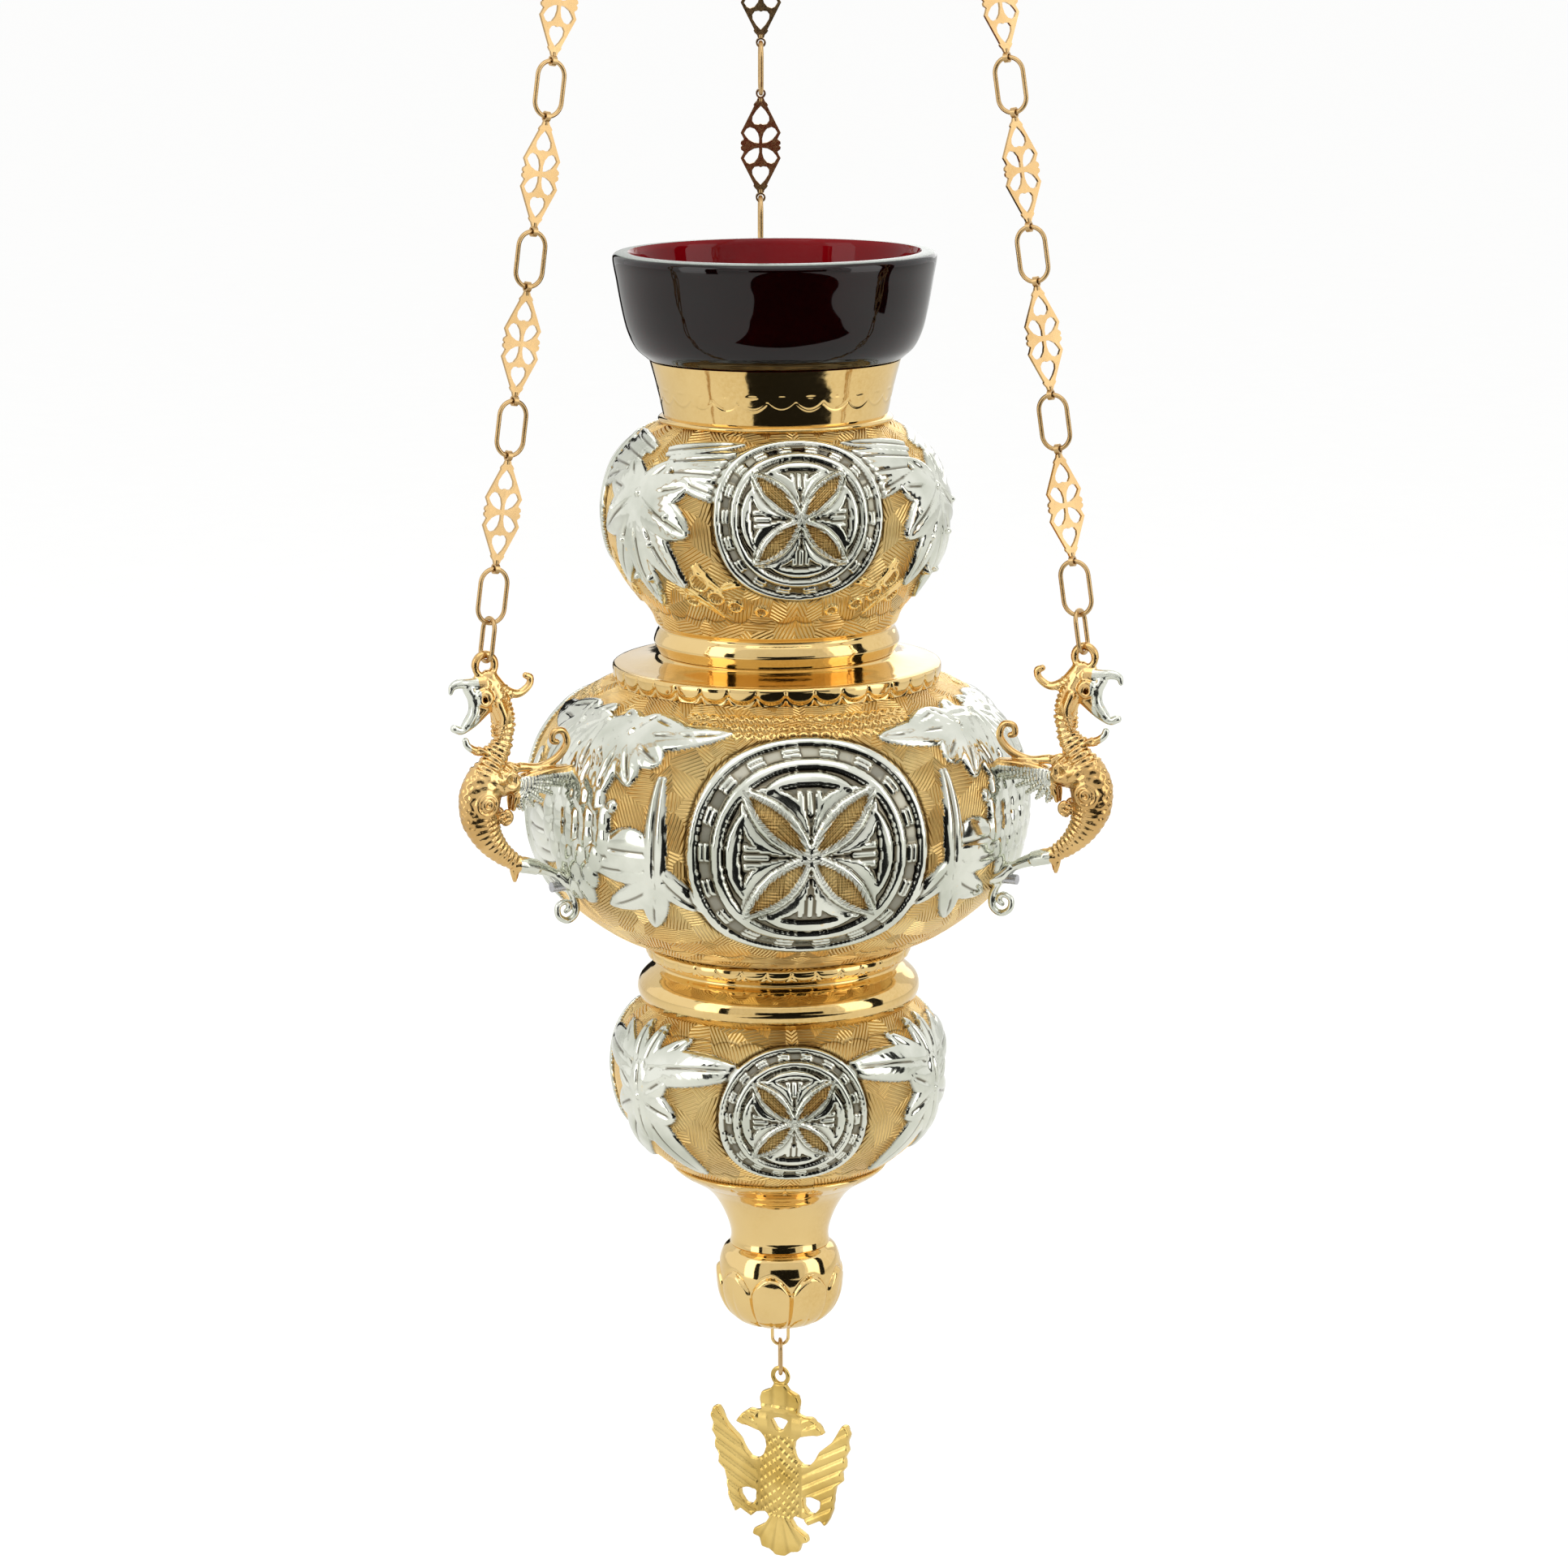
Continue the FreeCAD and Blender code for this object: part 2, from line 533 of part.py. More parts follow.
def eagle_pendant():
    """A flat double-headed eagle: right half-outline as (out, down) from its loop's centre."""
    half = [(1.8, 2.4), (3.0, 4.1), (6.0, 5.4), (6.8, 7.6), (5.9, 11.2), (8.2, 11.8), (10.4, 11.6), (12.8, 13.4),
            (15.0, 16.2), (13.0, 17.0), (10.2, 17.4), (6.8, 18.4), (5.0, 20.2), (4.6, 23.0), (5.6, 25.6),
            (7.6, 27.2), (10.0, 27.0), (11.8, 25.0), (13.4, 22.0), (17.6, 18.4), (19.6, 15.2), (21.2, 12.4),
            (22.6, 12.6), (23.6, 15.2), (22.8, 17.8), (23.2, 20.4), (22.0, 22.6), (22.4, 25.6), (20.8, 27.6),
            (21.2, 30.4), (18.8, 32.4), (18.2, 36.0), (17.8, 40.0), (16.6, 43.2), (15.2, 45.4), (13.6, 44.0),
            (9.9, 46.0), (8.2, 44.4), (5.2, 43.8), (3.6, 45.2), (5.0, 47.4), (9.0, 49.8), (9.4, 51.6),
            (7.2, 52.4), (6.2, 55.2), (3.8, 55.6), (1.6, 57.2)]
    loop = half + [(-u, v) for u, v in reversed(half)]
    top = lamp_z(EAGLE_LOOP)
    corners = [V(u, -EAGLE_THICK / 2, top - v) for u, v in loop]
    body = Part.Face(Part.makePolygon(corners + corners[:1])).extrude(V(0, EAGLE_THICK, 0))
    holes = [[(-3.0, 13.6), (0.0, 13.0), (3.0, 13.6), (1.2, 16.6), (0.0, 17.2), (-1.2, 16.6)]]
    for hand in (1, -1):
        holes.append([(hand * u, v) for u, v in ((8.0, 37.4), (11.0, 36.8), (13.8, 37.8), (13.6, 40.0),
                                                 (11.6, 42.2), (9.6, 42.2), (8.2, 40.4))])
    for hole in holes:
        ring = [V(u, -EAGLE_THICK, top - v) for u, v in hole]
        body = body.cut(Part.Face(Part.makePolygon(ring + ring[:1])).extrude(V(0, 2 * EAGLE_THICK, 0)))
    eye = torus(EAGLE_LOOP_HOLE + EAGLE_LOOP_WIRE, EAGLE_LOOP_WIRE, V(0, 0, top), V(0, 1, 0))
    return about_z(fused([body, eye]), PENDANT_YAW)


# ---- write the nodes ---------------------------------------------------------------------
def nodes():
    made = {
        "hanging_ring": hanging_ring(),
        "swivel_link": swivel_link(),
        "eye_bolt": eye_bolt(),
        "eye_bolt_nut": hex_nut(7.0, BOLT_R + THREAD_GAP, CROWN_FLOOR - 0.2, CROWN_FLOOR - 3.4),
        "crown_cap": crown_cap(),
        "glass_cup": glass_cup(),
        "collar": collar(),
        "upper_bulb": upper_bulb(),
        "bridge_plate": annulus(ROD_HOLE_R, 33.0, -105.2, -106.8),
        "tie_rod_washer": annulus(ROD_HOLE_R, 8.0, -104.2, -105.2),
        "tie_rod_nut": hex_nut(10.0, ROD_R + THREAD_GAP, -99.2, -104.2),
        "tie_rod": tie_rod(),
        "waist_spool": spun(WAIST, 1.5),
        "shoulder_flange": shoulder_flange(),
        "upper_centring_disc": annulus(ROD_HOLE_R, 45.0, -124.4, -125.6),
        "middle_bulb": middle_bulb(),
        "lower_centring_disc": annulus(ROD_HOLE_R, 34.0, -202.1, -203.3),
        "scalloped_ring": scalloped_ring(),
        "lower_moulding": lower_moulding(),
        "lower_bulb": lower_bulb(),
        "base_ring": base_ring(),
        "stem": stem(),
        "knob": knob(),
        "handle_screws": handle_screws(),
        "pendant_eye": pendant_eye(),
        "pendant_link": pendant_link(),
        "eagle_pendant": eagle_pendant(),
    }
    for name in HANDLE_AZIMUTHS:
        made[f"handle_{name}"] = handle(name)
        made[f"connecting_link_{name}"] = connecting_link(name)
        made[f"chain_links_{name}"] = chain_links(name)
        made[f"chain_plates_{name}"] = chain_plates(name)
        made[f"crown_eye_{name}"] = crown_eye(name)
    return made


os.makedirs("parts", exist_ok=True)
for node, shape in nodes().items():
    shape.exportStep(f"parts/{node}.step")
    print(f"{node:24s} solids {len(shape.Solids):3d}  valid {shape.isValid()}  volume {shape.Volume:10.1f}")
print(f"crown eye height {crown_eye_height():.2f}  lug eye {LUG_EYE:.2f}  ring centre {RIM_DROP}")
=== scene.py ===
import json
import math

import bpy
import numpy as np
from mathutils import Matrix, Vector


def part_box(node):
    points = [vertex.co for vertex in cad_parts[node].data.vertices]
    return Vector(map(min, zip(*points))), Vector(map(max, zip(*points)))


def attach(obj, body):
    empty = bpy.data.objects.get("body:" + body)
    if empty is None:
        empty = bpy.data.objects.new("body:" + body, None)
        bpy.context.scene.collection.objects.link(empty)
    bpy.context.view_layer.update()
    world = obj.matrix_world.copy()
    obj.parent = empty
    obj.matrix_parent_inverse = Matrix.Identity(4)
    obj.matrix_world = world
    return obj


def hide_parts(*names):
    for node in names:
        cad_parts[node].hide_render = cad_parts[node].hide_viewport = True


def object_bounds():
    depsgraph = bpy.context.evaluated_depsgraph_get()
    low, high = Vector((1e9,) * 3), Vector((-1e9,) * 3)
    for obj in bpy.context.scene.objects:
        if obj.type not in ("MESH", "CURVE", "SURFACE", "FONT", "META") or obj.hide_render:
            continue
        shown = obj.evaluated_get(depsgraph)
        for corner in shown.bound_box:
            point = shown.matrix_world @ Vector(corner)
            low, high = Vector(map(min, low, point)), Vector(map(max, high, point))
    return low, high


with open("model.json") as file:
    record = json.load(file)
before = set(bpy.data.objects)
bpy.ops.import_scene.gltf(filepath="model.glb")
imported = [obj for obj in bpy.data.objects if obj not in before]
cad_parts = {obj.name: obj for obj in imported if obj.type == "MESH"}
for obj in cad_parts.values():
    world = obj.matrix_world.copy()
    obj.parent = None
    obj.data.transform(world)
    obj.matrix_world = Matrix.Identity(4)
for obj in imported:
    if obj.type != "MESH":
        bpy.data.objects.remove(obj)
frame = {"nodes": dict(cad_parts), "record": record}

CAD_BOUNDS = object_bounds()
MM = 0.001
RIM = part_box("glass_cup")[1][2]          # z of the cup's rim; heights below are in mm from it
HANDLES = {"right": -30.0, "back": 90.0, "left": 210.0}     # azimuths in degrees


# ---- materials ----
GOLD = (0.98, 0.72, 0.30, 1)
GOLD_DEEP = (0.92, 0.61, 0.22, 1)
SILVER = (0.82, 0.83, 0.74, 1)
SILVER_DEEP = (0.60, 0.62, 0.53, 1)


class Nodes:
    """A material and short calls that add and join its nodes."""

    def __init__(self, name):
        self.material = bpy.data.materials.new(name)
        self.material.use_nodes = True
        self.tree = self.material.node_tree
        self.tree.nodes.clear()
        self.shader = self.add("ShaderNodeBsdfPrincipled")
        output = self.add("ShaderNodeOutputMaterial")
        self.join(self.shader, 0, output, 0)

    def add(self, kind, **values):
        node = self.tree.nodes.new(kind)
        for key, value in values.items():
            setattr(node, key, value)
        return node

    def join(self, a, out, b, into):
        self.tree.links.new(a.outputs[out], b.inputs[into])

    def coordinates(self):
        return self.add("ShaderNodeTexCoord")

    def noise(self, scale, detail=3.0, roughness=0.5):
        node = self.add("ShaderNodeTexNoise")
        self.join(self.coordinates(), "Object", node, "Vector")
        node.inputs["Scale"].default_value = scale
        node.inputs["Detail"].default_value = detail
        node.inputs["Roughness"].default_value = roughness
        return node

    def ramp(self, source, out, low, high, colors=((0, 0, 0, 1), (1, 1, 1, 1))):
        node = self.add("ShaderNodeValToRGB")
        node.color_ramp.elements[0].position = low
        node.color_ramp.elements[1].position = high
        node.color_ramp.elements[0].color = colors[0]
        node.color_ramp.elements[1].color = colors[1]
        self.join(source, out, node, "Fac")
        return node

    def mix(self, factor, factor_out, a, b):
        """Colour mix; a and b are colours or (node, output) pairs."""
        node = self.add("ShaderNodeMix", data_type="RGBA")
        self.join(factor, factor_out, node, "Factor")
        for socket, value in ((6, a), (7, b)):
            if len(value) == 2:
                self.join(value[0], value[1], node, socket)
            else:
                node.inputs[socket].default_value = value
        return node

    def math(self, operation, a, b):
        node = self.add("ShaderNodeMath", operation=operation)
        for socket, value in enumerate((a, b)):
            if isinstance(value, tuple):
                self.join(value[0], value[1], node, socket)
            else:
                node.inputs[socket].default_value = value
        return node

    def attribute(self, name):
        return self.add("ShaderNodeAttribute", attribute_name=name)

    def bump(self, source, out, strength, distance, chain=None):
        node = self.add("ShaderNodeBump")
        node.inputs["Strength"].default_value = strength
        node.inputs["Distance"].default_value = distance
        self.join(source, out, node, "Height")
        if chain:
            self.join(chain, "Normal", node, "Normal")
        return node


def polished(name, bright, deep, rough=(0.03, 0.11)):
    """Plated metal: soft cloudy tone, hand-polishing scratches and a faint orange peel."""
    m = Nodes(name)
    cloud = m.noise(38.0, 4.0)
    tone = m.ramp(cloud, "Fac", 0.35, 0.62)
    grain = m.noise(900.0, 5.0, 0.7)
    streak = m.ramp(grain, "Fac", 0.30, 0.75)
    tarnish = m.mix(tone, "Color", deep, bright)
    color = m.mix(streak, "Color", (tarnish, 2), bright)
    m.join(color, 2, m.shader, "Base Color")
    m.shader.inputs["Metallic"].default_value = 1.0
    spread = m.add("ShaderNodeMapRange")
    spread.inputs["To Min"].default_value = rough[0]
    spread.inputs["To Max"].default_value = rough[1]
    m.join(streak, "Color", spread, "Value")
    m.join(spread, 0, m.shader, "Roughness")
    peel = m.bump(m.noise(160.0, 2.0), "Fac", 0.10, 0.0006)
    scratch = m.bump(grain, "Fac", 0.05, 0.0001, peel)
    m.join(scratch, "Normal", m.shader, "Normal")
    return m.material


HATCH_PATCHES, HATCH_LINES = 0.13, 0.29       # texture scales of the chased ground


def two_metal(name, hatched=True, golds=(GOLD_DEEP, GOLD)):
    """Embossed plate: mesh attributes say where it is silvered and hatched, and how much painted shade darkens it in
    its hollows.
    """
    m = Nodes(name)
    silver, matte, painted_shade = (m.attribute(a) for a in ("silver", "matte", "painted_shade"))
    cloud = m.ramp(m.noise(60.0, 4.0), "Fac", 0.36, 0.62)
    worn = m.noise(420.0, 4.0, 0.65)
    blotch = m.math("MULTIPLY", (worn, "Fac"), 0.8)
    edge = m.math("MULTIPLY_ADD", (silver, "Fac"), 0.5)
    m.join(blotch, 0, edge, 2)
    mask = m.ramp(edge, 0, 0.68, 0.76)
    gold = m.mix(cloud, "Color", *golds)
    white = m.mix(cloud, "Color", SILVER_DEEP, SILVER)
    metal = m.mix(mask, "Color", (gold, 2), (white, 2))
    # painted shade: the base colour is multiplied towards dark brown in the hollows, grooves and edges that the mesh
    # marks
    dark = m.ramp(painted_shade, "Fac", 0.15, 1.0)
    painted_shade_and_hatch = m.math("MULTIPLY_ADD", (dark, "Color"), 1.0)
    shade = m.add("ShaderNodeMix", data_type="RGBA", blend_type="MULTIPLY")
    m.join(painted_shade_and_hatch, 0, shade, "Factor")
    m.join(metal, 2, shade, 6)
    shade.inputs[7].default_value = (0.20, 0.17, 0.13, 1)
    m.join(shade, 2, m.shader, "Base Color")
    m.shader.inputs["Metallic"].default_value = 1.0
    rough = m.add("ShaderNodeMapRange")
    rough.inputs["To Min"].default_value = 0.10
    rough.inputs["To Max"].default_value = 0.34
    m.join(matte, "Fac", rough, "Value")
    m.join(rough, 0, m.shader, "Roughness")
    if hatched:
        flat = m.add("ShaderNodeCombineXYZ")
        m.join(m.attribute("across"), "Fac", flat, 0)
        m.join(m.attribute("down"), "Fac", flat, 1)
        patch = m.add("ShaderNodeTexVoronoi")
        patch.inputs["Scale"].default_value = HATCH_PATCHES
        m.join(flat, 0, patch, "Vector")
        chance = m.add("ShaderNodeSeparateColor")
        m.join(patch, "Color", chance, 0)
        turned = m.add("ShaderNodeVectorRotate", rotation_type="Z_AXIS")
        m.join(flat, 0, turned, "Vector")
        angle = m.math("MULTIPLY", (chance, 0), math.pi)
        m.join(angle, 0, turned, "Angle")
        hatch_out = m.add("ShaderNodeTexWave", wave_type="BANDS", bands_direction="X")
        m.join(turned, 0, hatch_out, "Vector")
        hatch_out.inputs["Scale"].default_value = HATCH_LINES
        hatch_out.inputs["Distortion"].default_value = 1.6
        hatch_out.inputs["Detail"].default_value = 2.0
        hatch_out.inputs["Detail Scale"].default_value = 0.7
        cut = m.math("MULTIPLY", (hatch_out, "Fac"), (matte, "Fac"))
        line = m.math("MULTIPLY", (cut, 0), 0.16)
        m.join(line, 0, painted_shade_and_hatch, 2)
        chased = m.bump(cut, 0, 0.9, 0.0009)
    else:
        painted_shade_and_hatch.inputs[2].default_value = 0.0
        chased = m.bump(m.noise(260.0, 3.0), "Fac", 0.25, 0.0004)
    fine = m.bump(worn, "Fac", 0.12, 0.0002, chased)
    m.join(fine, "Normal", m.shader, "Normal")
    return m.material


def red_glass(name, low, high, clear, gloss):
    m = Nodes(name)
    streak = m.ramp(m.noise(30.0, 2.0), "Fac", 0.3, 0.7)
    color = m.mix(streak, "Color", low, high)
    m.join(color, 2, m.shader, "Base Color")
    m.shader.inputs["Transmission Weight"].default_value = clear
    m.shader.inputs["Specular IOR Level"].default_value = gloss
    m.shader.inputs["Roughness"].default_value = 0.04
    m.shader.inputs["IOR"].default_value = 1.45
    ripple = m.bump(m.noise(55.0, 2.0), "Fac", 0.08, 0.001)
    m.join(ripple, "Normal", m.shader, "Normal")
    return m.material


def rim_glass():
    """The cup's ground lip, where the clear core of the cased glass shows."""
    m = Nodes("ground_rim_glass")
    grit = m.noise(700.0, 4.0)
    color = m.mix(grit, "Fac", (0.16, 0.20, 0.17, 1), (0.36, 0.40, 0.34, 1))
    m.join(color, 2, m.shader, "Base Color")
    m.shader.inputs["Roughness"].default_value = 0.22
    m.shader.inputs["Transmission Weight"].default_value = 0.25
    m.shader.inputs["IOR"].default_value = 1.5
    bump = m.bump(grit, "Fac", 0.2, 0.0002)
    m.join(bump, "Normal", m.shader, "Normal")
    return m.material


gold = polished("polished_gold_plate", (0.84, 0.61, 0.27, 1), (0.70, 0.46, 0.16, 1))
chain_gold = polished("chain_gold_plate", (0.62, 0.42, 0.20, 1), (0.40, 0.25, 0.10, 1), (0.22, 0.38))
cast_gold = polished("cast_gold_plate", (0.88, 0.62, 0.27, 1), (0.58, 0.38, 0.12, 1), (0.16, 0.34))
sheet_brass = polished("brass_sheet", (0.80, 0.60, 0.30, 1), (0.52, 0.36, 0.16, 1), (0.22, 0.4))
steel = polished("zinc_steel", (0.62, 0.62, 0.64, 1), (0.40, 0.40, 0.42, 1), (0.2, 0.4))
relief_metal = two_metal("gold_and_silver_relief")
ruby = red_glass("ruby_glass_outside", (0.010, 0.0001, 0.0002, 1), (0.022, 0.0002, 0.0004, 1), 1.0, 0.03)
ruby_inside = red_glass("ruby_glass_inside", (0.22, 0.0010, 0.004, 1), (0.32, 0.0016, 0.006, 1), 0.35, 0.1)
rim_clear = rim_glass()


# ---- mesh building ----
def mesh_object(name, points, faces, material, attributes, sharp):
    """A smooth mesh of quads: points is an (n, 3) array in mm, faces an (m, 4) array."""
    mesh = bpy.data.meshes.new(name)
    mesh.vertices.add(len(points))
    mesh.vertices.foreach_set("co", (points * MM).astype(np.float32).ravel())
    mesh.loops.add(faces.size)
    mesh.loops.foreach_set("vertex_index", faces.astype(np.int32).ravel())
    mesh.polygons.add(len(faces))
    mesh.polygons.foreach_set("loop_start", np.arange(0, faces.size, 4, dtype=np.int32))
    mesh.polygons.foreach_set("loop_total", np.full(len(faces), 4, dtype=np.int32))
    mesh.update(calc_edges=True)
    for key, values in (attributes or {}).items():
        layer = mesh.attributes.new(key, "FLOAT", "POINT")
        layer.data.foreach_set("value", values.astype(np.float32).ravel())
    mesh.validate()
    mesh.shade_smooth()
    mesh.set_sharp_from_angle(angle=math.radians(sharp))
    mesh.materials.append(material)
    obj = bpy.data.objects.new(name, mesh)
    bpy.context.scene.collection.objects.link(obj)
    return obj


def grid_faces(nu, nv):
    """Quads of a grid closed both ways round."""
    u, v = np.arange(nu)[:, None], np.arange(nv)[None, :]
    u1, v1 = (u + 1) % nu, (v + 1) % nv
    corners = (u * nv + v, u * nv + v1, u1 * nv + v1, u1 * nv + v)
    return np.stack([np.broadcast_to(a, (nu, nv)) for a in corners], axis=-1).reshape(-1, 4)


def bell(x):
    return np.exp(-(x ** 2))


def dome(x):
    return np.sqrt(np.clip(1 - x ** 2, 0, 1))


def through(points, count):
    """A smooth Catmull-Rom curve through points, resampled evenly along its length."""
    p = np.array(points, dtype=float)
    p = np.vstack([2 * p[0] - p[1], p, 2 * p[-1] - p[-2]])
    t = np.linspace(0, 1, 24, endpoint=False)[:, None]
    pieces = []
    for a, b, c, d in zip(p, p[1:], p[2:], p[3:]):
        pieces.append(0.5 * (2 * b + (c - a) * t + (2 * a - 5 * b + 4 * c - d) * t ** 2
                             + (3 * b - a - 3 * c + d) * t ** 3))
    dense = np.vstack(pieces + [p[-2:-1]])
    length = np.concatenate([[0], np.cumsum(np.linalg.norm(np.diff(dense, axis=0), axis=1))])
    even = np.linspace(0, length[-1], count)
    return np.stack([np.interp(even, length, dense[:, i]) for i in range(dense.shape[1])], axis=1)


def lathe(name, outline, material, count, swell=None):
    """Turns a closed (radius, height) outline round the lamp's axis; swell(theta, r, h) moves points."""
    theta = np.linspace(0, 2 * math.pi, count, endpoint=False)
    r = np.broadcast_to(outline[:, 0], (count, len(outline))).copy()
    h = np.broadcast_to(outline[:, 1], (count, len(outline))).copy()
    if swell:
        r, h = swell(theta[:, None], r, h)
    return turn_grid(name, theta, r, h, material)


def turn_grid(name, theta, r, h, material, attributes=None, sharp=40.0):
    """A closed mesh from radii and heights, both (theta, outline) arrays in mm."""
    points = np.stack([r * np.cos(theta)[:, None], r * np.sin(theta)[:, None], h + RIM / MM], axis=-1)
    return mesh_object(name, points.reshape(-1, 3), grid_faces(*r.shape), material, attributes, sharp)


def shell_outline(points, thickness, count, inner_count=14):
    """The outer curve, and the inside of the sheet in reverse."""
    outer = through(points, count)
    inner = through(points, inner_count)
    tangent = np.gradient(inner, axis=0)
    tangent /= np.linalg.norm(tangent, axis=1)[:, None]
    normal = np.stack([tangent[:, 1], -tangent[:, 0]], axis=1)
    inner = inner + np.where(normal[:, :1] > 0, -normal, normal) * thickness
    inner[0, 1], inner[-1, 1] = outer[0, 1], outer[-1, 1]
    return outer, inner[::-1]


# ---- embossed bulbs ----
SHEET = 1.2                                   # mm, of an embossed bulb
MEDAL_BORDER, BORDER_HALF = 0.862, 0.062      # parts of a medallion, as fractions of its radius
MEDAL_FIELD, PETAL_REACH, CRESCENT, BOSS = 0.715, 0.745, 0.63, 0.042


class Relief:
    """Heights, silvering, hatching and painted shade over one third of a bulb, repeated three times round."""

    def __init__(self, profile, per_sector, rows):
        self.outer, self.inner = shell_outline(profile, SHEET, rows)
        self.s = np.concatenate([[0], np.cumsum(np.linalg.norm(np.diff(self.outer, axis=0), axis=1))])
        self.theta = np.radians(np.linspace(-60, 60, per_sector, endpoint=False))
        self.height = np.zeros((per_sector, rows))
        self.silver = np.zeros_like(self.height)
        self.matte = np.ones_like(self.height)
        # painted shade: how much the shader darkens each point, set in hollows, grooves and along edges
        self.painted_shade = np.zeros_like(self.height)

    def local(self, azimuth, h):
        """Distances across and up from a point, in mm along the surface."""
        turn = self.theta[:, None] - math.radians(azimuth)
        turn = (turn + math.pi / 3) % (2 * math.pi / 3) - math.pi / 3
        s0 = np.interp(-h, -self.outer[:, 1], self.s)
        return turn * self.outer[None, :, 0], np.broadcast_to((s0 - self.s)[None, :], self.height.shape)

    def put(self, inside, height, silver=1.0, matte=0.0, painted_shade=0.0):
        """Lays a raised form over what is there."""
        over = inside & (height > self.height - 0.05)
        self.height = np.where(over, height, self.height)
        self.silver = np.where(over, silver, self.silver)
        self.matte = np.where(over, matte, self.matte)
        self.painted_shade = np.where(over, painted_shade, self.painted_shade)

    def leaflet(self, azimuth, h, angle, length, width, rise, bend=0.0, ribs=0.0, silver=1.0, belly=0.8):
        """One pointed lobe with a midrib: angle is its direction, 90 is up the lamp."""
        x, y = self.local(azimuth, h)
        c, s = math.cos(math.radians(angle)), math.sin(math.radians(angle))
        a, b = x * c + y * s, y * c - x * s
        b = b - bend * a * a / length
        t = np.clip(0.10 + 0.90 * a / length, 1e-4, 1 - 1e-4)
        half = width / 2 * np.sin(math.pi * t ** belly) ** 0.50 + 1e-6
        q = np.abs(b) / half
        inside = (a > 0) & (a < length) & (q < 1)
        dome = rise * np.clip(1 - q ** 3, 0, 1) ** 0.45 * (0.72 + 0.28 * np.sin(math.pi * t))
        dome = dome - 0.45 * rise * bell(b / 0.55) * np.clip((0.97 - t) * 6, 0, 1)
        if ribs:
            wave = np.cos(2 * math.pi * (a - 0.9 * np.abs(b)) / ribs)
            dome = dome - 0.07 * rise * np.clip(wave, 0, 1) * np.clip(q * 2, 0, 1) * (1 - q)
        # painted shade along each lobe's outline and down its midrib
        line = bell((half - np.abs(b)) / 0.55) * 0.75
        vein = bell(b / 0.45) * np.clip((0.95 - t) * 6, 0, 1) * 0.65
        self.put(inside, dome, silver, 0.0, np.maximum(line, vein) if silver else 0.4 * line)

    def bead(self, azimuth, h, across, up, rise, angle=90.0, silver=1.0, pit=0.0):
        """A rounded berry or grape."""
        x, y = self.local(azimuth, h)
        c, s = math.cos(math.radians(angle - 90)), math.sin(math.radians(angle - 90))
        a, b = x * c + y * s, y * c - x * s
        q = np.sqrt((a / across) ** 2 + (b / up) ** 2)
        dome = rise * np.sqrt(np.clip(1 - q * q, 0, 1))
        if pit:
            dome = dome - pit * bell(q / 0.3)
        # painted shade round the rim of each bead
        self.put(q < 1, dome + 0.1, silver, 0.0, 0.7 * np.clip((q - 0.80) / 0.2, 0, 1))

    def ring(self, azimuth, h, radius, width, rise, silver=1.0):
        x, y = self.local(azimuth, h)
        d = np.abs(np.hypot(x, y) - radius) / (width / 2)
        self.put(d < 1, rise * np.sqrt(np.clip(1 - d * d, 0, 1)) + 0.05, silver)

    def groove(self, azimuth, h, angle, length, width, depth, bend=0.0):
        """An engraved stroke."""
        x, y = self.local(azimuth, h)
        c, s = math.cos(math.radians(angle)), math.sin(math.radians(angle))
        a, b = x * c + y * s, y * c - x * s
        b = b - bend * a * a / length
        fade = np.clip(np.minimum(a, length - a) / (0.15 * length), 0, 1)
        cut = depth * bell(b / width) * fade
        self.height = self.height - cut
        # painted shade in the engraved stroke
        self.painted_shade = np.maximum(self.painted_shade, cut / max(depth, 1e-6) * 0.7)

    def scallops(self, h, count, size, depth, drop=1.0):
        """A row of engraved arcs right round the bulb."""
        x, y = self.local(0, h)
        pitch = 120.0 / (count / 3)
        turn = np.degrees(self.theta)[:, None] % pitch - pitch / 2
        across = np.radians(turn) * self.outer[None, :, 0]
        half = np.radians(pitch) * self.outer[None, :, 0] / 2
        arc = -size * drop * dome(across / half)
        cut = depth * bell((y - arc) / 0.38)
        self.height = self.height - cut
        # painted shade in the engraved arcs
        self.painted_shade = np.maximum(self.painted_shade, cut / depth * 0.45)

    def line(self, h):
        """An engraved line right round the bulb."""
        cut = bell(self.local(0, h)[1] / 0.45)
        self.height = self.height - 0.35 * cut
        # painted shade in the engraved line
        self.painted_shade = np.maximum(self.painted_shade, 0.7 * cut)

    def medallion(self, h, radius):
        """A silvered roundel: barred border, inner ring, four stippled petals and four crescents."""
        x, y = self.local(0, h)
        rho, phi = np.hypot(x, y) / radius, np.arctan2(y, x)
        inside = rho < 1
        base = 1.25 - 0.25 * rho ** 2
        rim = 0.45 * dome((rho - 0.962) / 0.038)
        border = np.abs(rho - MEDAL_BORDER) < BORDER_HALF
        ring = 0.5 * dome((rho - 0.757) / 0.043)
        field = rho < MEDAL_FIELD
        shape = base + rim - 0.75 * border + ring - 0.85 * field
        beat = np.cos(phi * 18 + 0.6) > 0.1
        bars = sum(dome((rho - c) / 0.017) for c in (0.842, 0.886)) * beat
        shape = shape + 0.75 * bars
        silver = np.ones_like(rho)
